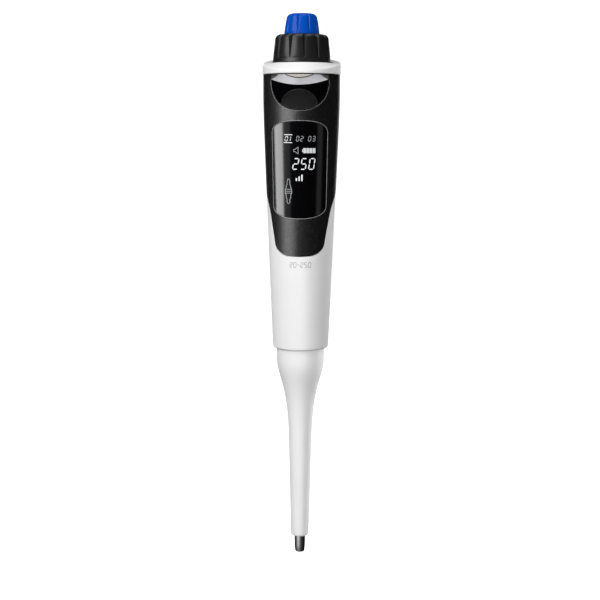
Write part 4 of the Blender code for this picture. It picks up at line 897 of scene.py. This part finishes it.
def button(finish):
    """The ejector button: a taper with a rounded, slightly domed top that the notches scallop."""
    roof = BUTTON_TOP - BUTTON_ROOF
    corners = [
        (0.0, BUTTON_TOP, 0.0),
        (0.0055, BUTTON_TOP - 0.0002, 0.0007),
        (0.0069, BUTTON_TOP - 0.0013, 0.0006),
        (0.0074, BUTTON_TOP - 0.0034, 0.0010),
        (BUTTON_RADIUS, BUTTON_TOP - 0.0090, 0.0010),
        (BUTTON_RADIUS, BUTTON_FOOT, 0.0002),
        (BUTTON_SOCKET, BUTTON_FOOT, 0.0),
        (BUTTON_SOCKET, roof, 0.0),
        (0.0, roof, 0.0),
    ]
    profile = finer(rounded(corners), 5)
    above = profile[:, 1] - BUTTON_TOP + BUTTON_GROOVE_DROP
    climb = np.clip(above / BUTTON_GROOVE_CLIMB, 0.0, 1.0)
    half, depth = between(BUTTON_GROOVE_LOW, BUTTON_GROOVE_HIGH, climb)
    from_flat = (profile[:, 0] - BUTTON_FLAT) / BUTTON_FLAT_BAND
    depth = depth * eased(climb / BUTTON_GROOVE_START) * eased(from_flat)
    points = fluted(profile, BUTTON_LOBES, BUTTON_TURN, half, depth, BUTTON_PILLOW)
    return skin(
        "push_button", points, finish, "ejector",
        stands_for=("ejector_button",), slot="button_blue",
    )


def sweep(share):
    """The sleeve's shoulder: 1 / (1 + (waist x share) ** power), brought to 0 at its foot."""
    waist = 1 / (1 + (SWEEP_WAIST * share) ** SWEEP_POWER)
    last = 1 / (1 + SWEEP_WAIST**SWEEP_POWER)
    radius = SWEEP_FOOT_RADIUS + (SLEEVE_RADIUS - SWEEP_FOOT_RADIUS) * (waist - last) / (1 - last)
    return joined(radius, HOUSING_BOTTOM - SWEEP_DROP - SWEEP_LENGTH * share)


def sleeve(finish):
    """The ejector sleeve: upright in the mouth, one long sweep, a fine taper and a rounded foot."""
    sweep_line = sweep(np.linspace(0.0, 1.0, 60))
    corners = [
        (SLEEVE_FOOT_RADIUS, SLEEVE_FOOT + SLEEVE_LIP, 0.0),
        (SLEEVE_FOOT_RADIUS, SLEEVE_FOOT, SLEEVE_ROUND),
        (SLEEVE_MOUTH, SLEEVE_FOOT, 0.0003),
        (SLEEVE_MOUTH + 0.0001, SLEEVE_FOOT + SLEEVE_THROAT, 0.0),
    ]
    foot = rounded(corners, steps=12)
    inside = sweep(np.linspace(1.0, 0.0, 30)) - (SLEEVE_WALL, 0.0)
    ends = [[SLEEVE_RADIUS - SLEEVE_WALL, SLEEVE_TOP], [SLEEVE_RADIUS, SLEEVE_TOP]]
    taper = np.linspace(sweep_line[-1], foot[0], 12)[1:-1]
    profile = np.vstack([ends[1:], sweep_line, taper, foot, inside, ends[:1]])
    return skin(
        "tapered_sleeve", turned(profile, 160), finish, "ejector", along=True,
        stands_for=("ejector_sleeve",), slot="sleeve_white",
    )


def nozzle(finish):
    """The nozzle: a rounded open end, a fine cone and the barrel that the piston runs in."""
    corners = [
        (AIR_HOLE, 0.0, 0.00015),
        (NOZZLE_TIP_RADIUS, 0.0, 0.0006),
        (NOZZLE_TIP_RADIUS + 0.0003, 0.0030, 0.0006),
        (NOZZLE_RADIUS, 0.0072, 0.0006),
        (NOZZLE_RADIUS, SLEEVE_FOOT + SLEEVE_THROAT, 0.0),
        (NOZZLE_RADIUS + 0.0004, BARREL_FOOT - 0.0040, 0.0),
        (BARREL_RADIUS, BARREL_FOOT, 0.0),
        (BARREL_RADIUS, SEAL_FLOOR - 0.0030, 0.0),
        (SEAL_HOUSING_RADIUS, SEAL_FLOOR - 0.0010, 0.0),
        (SEAL_HOUSING_RADIUS, FLANGE_HEIGHT, 0.0),
        (FLANGE_RADIUS, FLANGE_HEIGHT, 0.0),
        (FLANGE_RADIUS, NOZZLE_TOP, 0.0),
        (SEAL_BORE, NOZZLE_TOP, 0.0),
        (SEAL_BORE, SEAL_FLOOR, 0.0),
        (BARREL_BORE, SEAL_FLOOR, 0.0),
        (BARREL_BORE, BARREL_FOOT, 0.0),
        (AIR_HOLE, BARREL_FOOT - 0.0015, 0.0),
    ]
    profile = rounded(corners, closed=True)
    return skin(
        "nozzle_end", turned(profile, 96), finish, "root", along=True,
        stands_for=("nozzle",), slot="nozzle_black",
    )


def return_spring(finish):
    """The ejector's return spring: a circle carried up a helix."""
    low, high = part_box("ejector_spring")
    radius = (high.x - low.x) / 2 - SPRING_WIRE
    turn = np.linspace(0, 2 * pi * SPRING_TURNS, 28 * SPRING_TURNS + 1)
    out = swung(1.0, turn, 0.0)
    rise = np.linspace(low.z + SPRING_WIRE, high.z - SPRING_WIRE, len(turn)) - NOZZLE_END
    path = radius * out + ((low.x + high.x) / 2, (low.y + high.y) / 2 - AXIS_Y, 0.0)
    path[:, 2] = rise
    spring = skin(
        "return_spring", wire(path, out, SPRING_WIRE, 12).transpose(1, 0, 2), finish, "root",
        stands_for=("ejector_spring",), slot="bright_steel",
    )
    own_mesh(spring)


def bar(x0, h0, x1, h1, thick, pointed=False):
    """A stroke as its two sides, in short steps so that it can follow the curved front."""
    start, end = np.array([x0, h0]), np.array([x1, h1])
    length = np.hypot(*(end - start))
    along = (end - start) / length
    side = np.array([-along[1], along[0]]) * thick / 2
    count = 2 + int(length / STROKE_STEP)
    at = np.linspace(0.0, length, count)
    wide = np.ones(count)
    if pointed:
        shoulder = STROKE_SHOULDER * thick
        point = STROKE_POINT * thick
        at = np.linspace(shoulder, length - shoulder, count)
        at = np.concatenate([[point], at, [length - point]])
        wide = np.concatenate([[0.0], wide, [0.0]])
    middle = start + along * at[:, None]
    return np.stack([middle - side * wide[:, None], middle + side * wide[:, None]], axis=1)


def strokes(spots, thick):
    """Strokes that join one spot to the next."""
    return [bar(*start, *end, thick) for start, end in zip(spots[:-1], spots[1:])]


def digit(number, x, foot, wide, tall, thick, slant=SLANT):
    """One seven-segment digit centred on x; its segments are named from a to g."""
    middle = foot + tall / 2
    half = wide / 2
    top = foot + tall
    segments = {
        "a": (x - half, top, x + half, top),
        "b": (x + half, middle, x + half, top),
        "c": (x + half, foot, x + half, middle),
        "d": (x - half, foot, x + half, foot),
        "e": (x - half, foot, x - half, middle),
        "f": (x - half, middle, x - half, top),
        "g": (x - half, middle, x + half, middle),
    }
    shapes = [bar(*segments[name], thick, True) for name in LIT[number]]
    return [shape + (shape[..., 1:] - middle) * (slant, 0.0) for shape in shapes]


def display_marks(bright, pale, dim):
    """Plain digits and icons: modes, a sounder, a battery, a volume, rising bars and a level."""
    shown = strokes([(-0.0071, 0.2057), (-0.0032, 0.2057)], 0.00034)
    shown += strokes([(-0.0072, 0.2021), (-0.0033, 0.2021)], 0.00034)
    for number, x in ((0, -0.0060), (1, -0.0046)):
        shown += digit(number, x, MODE_FOOT, 0.0011, 0.0022, 0.00033)
    for number, x in ((2, -0.0016), (5, 0.0021), (0, 0.0058)):
        shown += digit(number, x, VOLUME_FOOT, 0.0022, 0.0049, 0.00046)
    for rise, x in enumerate((-0.0013, 0.0000, 0.0013)):
        shown += strokes([(x, BARS_FOOT), (x, 0.1858 + 0.0008 * rise)], 0.00062)
    level = BATTERY_HEIGHT
    cells = [bar(x, level, x + 0.00125, level, 0.0023) for x in 0.00190 + 0.00142 * np.arange(4)]
    cells += strokes([(0.0014, level), (0.0018, level)], 0.0013)
    raised("display_marks", shown, bright, slot="lens_black")
    raised("battery_mark", cells, pale, slot="lens_black")
    shown = []
    for number, x in ((2, 0.0002), (3, 0.0057)):
        shown += digit(0, x - 0.0009, MODE_FOOT, 0.0011, 0.0022, 0.00030)
        shown += digit(number, x + 0.0010, MODE_FOOT, 0.0011, 0.0022, 0.00030)
    horn = [(-0.0026, 0.1980), (-0.0019, 0.1980), (-0.0005, 0.1969)]
    horn += [(-0.0005, 0.2001), (-0.0019, 0.1990), (-0.0026, 0.1990), (-0.0026, 0.1980)]
    shown += strokes(horn, 0.00024)
    edge = [(0.0001, 0.1855), (0.0005, 0.1850), (0.0007, 0.1836), (0.0006, 0.1829)]
    edge += [(0.0011, 0.1822), (0.0010, 0.1815), (0.0015, 0.1807), (0.0015, 0.1787)]
    edge += [(0.0010, 0.1778), (0.0012, 0.1771), (0.0008, 0.1761), (0.0005, 0.1757)]
    edge += [(0.0008, 0.1749), (0.0004, 0.1741), (0.0001, 0.1739)]
    for side in (-1, 1):
        shown += strokes([(LEVEL_X + side * across, height) for across, height in edge], 0.00028)
    for height in (0.1806, 0.1797, 0.1788):
        shown.append(bar(LEVEL_X - 0.0014, height, LEVEL_X + 0.0014, height, 0.00026))
    raised("display_icons", shown, dim, slot="lens_black")


def range_print(finish):
    """The volume range on the body: plain numbers with a dash between."""
    shown = []
    for number, x in ((2, -0.0038), (0, -0.0020), (2, 0.0013), (5, 0.0031), (0, 0.0049)):
        shown += digit(number, x, RANGE_FOOT, 0.0012, 0.0023, 0.00021, 0.0)
    shown += strokes([(-0.0008, 0.1452), (0.0001, 0.1452)], 0.00022)
    raised("range_print", shown, finish, slot="frame_grey")


def opening_highlights(finish):
    """Fine lines laid round the window and down and up the trigger's opening; their light grey is a
    painted highlight on the opening's edges.
    """
    rim = window_outline(-LINE_OUT)
    bead("window_edge_highlight", on_front(*rim.T, 0.0), WINDOW_HIGHLIGHT, finish, "root")
    rim = key_outline(-LINE_OUT, ridge)
    rim = np.roll(rim, -np.argmin(rim[:, 0]), axis=0)
    path = on_front(*rim[: np.argmax(rim[:, 0]) + 1].T, 0.0)
    bead("trigger_edge_highlight", path, KEY_HIGHLIGHT, finish, "root", closed=False)


def raised(name, shapes, finish, **options):
    """Strokes made into thin closed pads on the front: a ring of four corners at each step."""
    corners, faces = [], []
    count = 0
    for shape in shapes:
        upper = on_front(shape[..., 0], shape[..., 1], MARK_RAISED)
        lower = on_front(shape[..., 0], shape[..., 1], -MARK_SUNK)
        rings = np.concatenate([upper, lower[:, ::-1]], axis=1)
        corners.append(rings.reshape(-1, 3))
        faces.append(count + quads_of(len(rings), 4, True, False).reshape(-1, 4))
        count += 4 * len(rings)
    settled(name, np.vstack(corners), np.vstack(faces), finish, "root", **options)


def finish_of(name, colour, roughness, vary=0.05, mottle=0.06, grain=1400.0, relief=0.02,
              metallic=0.0, shine=0.5, stretch=(1.0, 1.0, 1.0), fleck=None, glow=0.0):
    """A moulded or machined finish whose colour, roughness and height follow noise in the piece.

    A fleck adds metallic grains of its own colour where the fine noise peaks.
    """
    made = bpy.data.materials.new(name)
    made.use_nodes = True
    nodes = made.node_tree.nodes
    links = made.node_tree.links
    shader = nodes["Principled BSDF"]
    shader.inputs["Metallic"].default_value = metallic
    shader.inputs["Specular IOR Level"].default_value = shine
    where = nodes.new("ShaderNodeTexCoord")
    mapping = nodes.new("ShaderNodeMapping")
    mapping.inputs["Scale"].default_value = stretch
    links.new(where.outputs["Object"], mapping.inputs["Vector"])
    broad = nodes.new("ShaderNodeTexNoise")
    broad.inputs["Scale"].default_value = BROAD_GRAIN
    fine = nodes.new("ShaderNodeTexNoise")
    fine.inputs["Scale"].default_value = grain
    fine.inputs["Detail"].default_value = FINE_DETAIL
    for noise in (broad, fine):
        links.new(mapping.outputs["Vector"], noise.inputs["Vector"])
    tone = nodes.new("ShaderNodeValToRGB")
    low, high = tone.color_ramp.elements
    low.position, high.position = NOISE_MIDDLE
    low.color = (*[value * (1 - mottle) for value in colour], 1.0)
    high.color = (*[min(1.0, value * (1 + mottle)) for value in colour], 1.0)
    links.new(broad.outputs["Fac"], tone.inputs["Fac"])
    surface = tone.outputs["Color"]
    if fleck:
        peaks = nodes.new("ShaderNodeMapRange")
        peaks.inputs["From Min"].default_value = FLECK_PEAKS[0]
        peaks.inputs["From Max"].default_value = FLECK_PEAKS[1]
        links.new(fine.outputs["Fac"], peaks.inputs["Value"])
        blend = nodes.new("ShaderNodeMix")
        blend.data_type = "RGBA"
        blend.inputs["B"].default_value = (*fleck, 1.0)
        links.new(peaks.outputs["Result"], blend.inputs["Factor"])
        links.new(surface, blend.inputs["A"])
        links.new(peaks.outputs["Result"], shader.inputs["Metallic"])
        surface = blend.outputs["Result"]
    links.new(surface, shader.inputs["Base Color"])
    spread = nodes.new("ShaderNodeMapRange")
    spread.inputs["From Min"].default_value = NOISE_MIDDLE[0]
    spread.inputs["From Max"].default_value = NOISE_MIDDLE[1]
    spread.inputs["To Min"].default_value = max(0.0, roughness - vary)
    spread.inputs["To Max"].default_value = roughness + vary
    links.new(fine.outputs["Fac"], spread.inputs["Value"])
    links.new(spread.outputs["Result"], shader.inputs["Roughness"])
    bump = nodes.new("ShaderNodeBump")
    bump.inputs["Strength"].default_value = relief
    bump.inputs["Distance"].default_value = RELIEF_DEPTH
    links.new(fine.outputs["Fac"], bump.inputs["Height"])
    links.new(bump.outputs["Normal"], shader.inputs["Normal"])
    if glow:
        links.new(surface, shader.inputs["Emission Color"])
        shader.inputs["Emission Strength"].default_value = glow
    return made


def metal(name, colour, roughness, **options):
    """A machined metal; a stretch below 1 draws its grain out along that axis."""
    return finish_of(name, colour, roughness, metallic=1.0, **options)


def stage_floor():
    """A pale floor that curves up into a wall: a line, a quarter arc and a line, turned round."""
    arc = np.linspace(0, pi / 2, 24)
    radius = np.concatenate([[0.0, 0.5], FLOOR_REACH + FLOOR_CURVE * np.sin(arc)])
    rise = np.concatenate([[0.0, 0.0], FLOOR_CURVE * (1 - np.cos(arc))])
    line = joined(np.append(radius, radius[-1]), np.append(rise, WALL_TOP) - FLOOR_DROP)
    finish = finish_of(
        "pale_floor", (0.82, 0.82, 0.83), 0.8, mottle=0.01, grain=200.0, relief=0.0, glow=1.35
    )
    floor = skin("studio_floor", turned(line, 96), finish, None, closed=False)
    floor.visible_glossy = False
    floor.visible_diffuse = False


def soft_light(name, azimuth, distance, height, size, radiance, matt=True, gloss=True, only=None):
    """An even rectangle of light that faces the axis, placed by degrees right of the camera.

    A lamp may be left out of matt or of glossy light, and may light only one piece.
    """
    lamp = bpy.data.lights.new(name, "AREA")
    lamp.shape = "RECTANGLE"
    lamp.size, lamp.size_y = size
    lamp.energy = radiance * pi * size[0] * size[1]
    turn = CAMERA_TURN + radians(azimuth)
    spot = Vector((distance * sin(turn), AXIS_Y - distance * cos(turn), NOZZLE_END + height))
    holder = bpy.data.objects.new(name, lamp)
    holder.location = spot
    aim = Vector((0.0, AXIS_Y, NOZZLE_END + AIM_HEIGHT))
    holder.rotation_euler = (aim - spot).to_track_quat("-Z", "Y").to_euler()
    holder.visible_camera = False
    holder.visible_diffuse = matt
    holder.visible_glossy = gloss
    if only:
        lit = bpy.data.collections.new(f"{name}_lights")
        lit.objects.link(only)
        holder.light_linking.receiver_collection = lit
    bpy.context.scene.collection.objects.link(holder)


def studio(window, front, lower, tip):
    """Camera at the photograph's angle, soft lights and a faint even surround."""
    camera = bpy.data.cameras.new("camera")
    camera.sensor_width = CAMERA_SENSOR
    camera.lens = CAMERA_LENS
    holder = bpy.data.objects.new("camera", camera)
    axis = Matrix.Translation((0.0, AXIS_Y, NOZZLE_END)) @ Matrix.Rotation(CAMERA_TURN, 4, "Z")
    spot = axis @ Matrix.Translation((CAMERA_SIDE, -CAMERA_DISTANCE, CAMERA_HEIGHT))
    tilted = spot @ Matrix.Rotation(CAMERA_TILT, 4, "X")
    holder.matrix_world = tilted @ Matrix.Rotation(CAMERA_ROLL, 4, "Z")
    scene = bpy.context.scene
    scene.collection.objects.link(holder)
    scene.camera = holder
    scene.view_settings.view_transform = "Standard"
    soft_light("key", -46, 0.80, 0.62, (0.60, 0.55), 5.0)
    soft_light("overhead", 0, 0.15, 1.00, (0.70, 0.70), 2.4)
    soft_light("front_fill", 2, 0.80, 0.10, (0.60, 0.60), 4.0, gloss=False)
    soft_light("sleeve_fill", 112, 0.60, 0.06, (0.30, 0.40), 3.8, gloss=False, only=lower)
    soft_light("nozzle_shine", -30, 0.40, 0.035, (0.24, 0.06), 450.0, matt=False, only=tip)
    soft_light("front_sheen", -46, 0.60, 0.19, (0.46, 0.60), 5.5, matt=False, only=front)
    soft_light("window_strip", -77, 0.50, 0.19, (0.28, 0.28), 9.0, only=window)
    soft_light("window_glow", -49, 0.50, 0.19, (0.22, 0.28), 0.5, only=window)
    soft_light("window_trace", 62, 0.50, 0.19, (0.15, 0.28), 0.4, only=window)
    soft_light("right_rim", 130, 0.60, 0.18, (0.25, 0.60), 5.6, gloss=False)
    soft_light("left_rim", -135, 0.60, 0.18, (0.20, 0.60), 3.3, gloss=False)
    soft_light("right_edge", 160, 0.60, 0.18, (0.15, 0.60), 2.0, matt=False)
    soft_light("left_edge", -165, 0.60, 0.18, (0.15, 0.60), 1.5, matt=False)
    world = bpy.data.worlds.new("surround")
    world.use_nodes = True
    surround = world.node_tree.nodes["Background"]
    surround.inputs["Color"].default_value = (1.0, 0.99, 0.985, 1.0)
    surround.inputs["Strength"].default_value = SURROUND
    world.cycles_visibility.glossy = False
    scene.world = world


def dress_frame(finishes):
    """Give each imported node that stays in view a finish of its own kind."""
    for names, finish in finishes:
        for name in names:
            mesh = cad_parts[name].data
            mesh.materials.clear()
            mesh.materials.append(finish)


white = finish_of("shell_white", (0.84, 0.84, 0.845), 0.36, mottle=0.012, relief=0.03)
cap_white = finish_of("cap_white", (0.77, 0.77, 0.77), 0.40, mottle=0.012, relief=0.03)
sleeve_white = finish_of("sleeve_white", (0.85, 0.85, 0.855), 0.40, mottle=0.012, relief=0.03)
fascia_black = finish_of(
    "fascia_black", (0.005, 0.005, 0.0055), 0.40, grain=3300.0, relief=0.03,
    fleck=(0.16, 0.157, 0.153),
)
deep_black = (0.0015, 0.0015, 0.002)
lens_black = finish_of("lens_black", deep_black, 0.17, vary=0.01, mottle=0.1, relief=0.0)
key_black = finish_of(
    "key_gloss_black", deep_black, 0.12, vary=0.03, mottle=0.1, relief=0.004, shine=0.35
)
pad_black = finish_of("pad_satin_black", (0.010, 0.010, 0.0105), 0.42, grain=2600.0, relief=0.03)
wheel_black = finish_of(
    "wheel_black", (0.011, 0.011, 0.0115), 0.36, vary=0.06, grain=2600.0, relief=0.12
)
blue = finish_of(
    "button_blue", (0.0002, 0.066, 0.42), 0.24, vary=0.03, mottle=0.04, relief=0.01, shine=0.15
)
# Painted reflection: the slope's light grey stands for light from above; painted shade: its folds'
# darker grey
painted_reflection_grey = finish_of("slope_painted_reflection", (0.42, 0.42, 0.44), 0.34, relief=0.03, metallic=0.2)
facet_painted_shade = finish_of("facet_painted_shade", (0.06, 0.06, 0.06), 0.36, relief=0.03, metallic=0.2)
lip_painted_reflection = finish_of("lip_painted_reflection", (0.40, 0.38, 0.35), 0.40)
nozzle_black = finish_of("nozzle_black", (0.006, 0.006, 0.0065), 0.42, vary=0.04, relief=0.01)
# Painted highlight: the light grey of the fine lines round the window and the trigger's opening
edge_highlight_grey = finish_of("edge_highlight_grey", (0.42, 0.42, 0.43), 0.30, relief=0.01)
# Painted highlight: the lighter line round the finger pad
pad_highlight_line = finish_of("pad_highlight_line", (0.07, 0.07, 0.07), 0.30, relief=0.01)
mark_white = finish_of("mark_white", (0.44, 0.455, 0.465), 0.50, mottle=0.02, relief=0.0, glow=1.1)
mark_pale = finish_of("mark_pale", (0.31, 0.32, 0.325), 0.50, mottle=0.02, relief=0.0, glow=1.1)
mark_grey = finish_of("mark_grey", (0.18, 0.19, 0.195), 0.50, mottle=0.02, relief=0.0, glow=1.1)
print_grey = finish_of("print_grey", (0.26, 0.26, 0.27), 0.50, mottle=0.04, relief=0.0)
frame_grey = finish_of("frame_grey", (0.20, 0.21, 0.22), 0.55, vary=0.08, relief=0.08)
steel = metal("bright_steel", (0.60, 0.61, 0.63), 0.28, vary=0.08, stretch=(1.0, 1.0, 0.15))
motor_steel = metal("motor_steel", (0.48, 0.49, 0.51), 0.36, vary=0.08, stretch=(1.0, 1.0, 0.1))
chrome = metal("piston_chrome", (0.78, 0.79, 0.80), 0.10, vary=0.04)
bronze = metal("bearing_bronze", (0.52, 0.34, 0.16), 0.38, vary=0.10, grain=2200.0, relief=0.1)
copper = metal("rotor_copper", (0.60, 0.28, 0.14), 0.38, vary=0.10, stretch=(1.0, 1.0, 6.0))
gold = metal("contact_gold", (0.80, 0.58, 0.22), 0.25, vary=0.06)
rubber = finish_of("seal_rubber", (0.020, 0.020, 0.020), 0.78, vary=0.10, relief=0.1)
green = finish_of("board_green", (0.012, 0.13, 0.05), 0.40, vary=0.08, mottle=0.2, relief=0.04)
wrap = finish_of("battery_wrap", (0.06, 0.12, 0.32), 0.34, vary=0.06, relief=0.02)
plunger = finish_of("plunger_white", (0.80, 0.80, 0.78), 0.45, relief=0.03)

rear_shell(white)
range_print(print_grey)
front = fascia(fascia_black)
window = lens(lens_black)
display_marks(mark_white, mark_pale, mark_grey)
# The light lines round the openings are painted highlights on their edges
opening_highlights(edge_highlight_grey)
trigger_key(key_black)
finger_pad(pad_black, pad_highlight_line)
crescent(painted_reflection_grey, facet_painted_shade)
# The lip's warm grey is a painted reflection of the cap; its dark line, a painted shadow, uses the
# seal rubber finish
lip(lip_painted_reflection, rubber)
cap(cap_white)
wheel(wheel_black)
button(blue)
lower = sleeve(sleeve_white)
tip = nozzle(nozzle_black)
return_spring(steel)

dress_frame(
    [
        (["finger_hook"], white),
        (["chassis", "barrel_mount", "nozzle_nut", "ejector_yoke", "display_module"], frame_grey),
        (["hook_screw", "board_screw_left", "board_screw_right", "wheel_hub"], steel),
        (["ejector_stem", "ejector_arm", "ejector_rod", "rod_collar"], steel),
        (["trigger_pin", "seal_retainer", "lead_screw", "piston_coupling", "encoder_disc"], steel),
        (["motor_can"], motor_steel),
        (["piston"], chrome),
        (["wheel_bearing", "rod_guide"], bronze),
        (["motor_rotor"], copper),
        (["charge_contact_left", "charge_contact_right"], gold),
        (["battery_contact_lower", "battery_contact_upper"], gold),
        (["piston_seal"], rubber),
        (["main_board", "encoder_board"], green),
        (["battery"], wrap),
        (["buzzer", "trigger_switch"], key_black),
        (["switch_plunger"], plunger),
    ]
)

stage_floor()
studio(window, front, lower, tip)
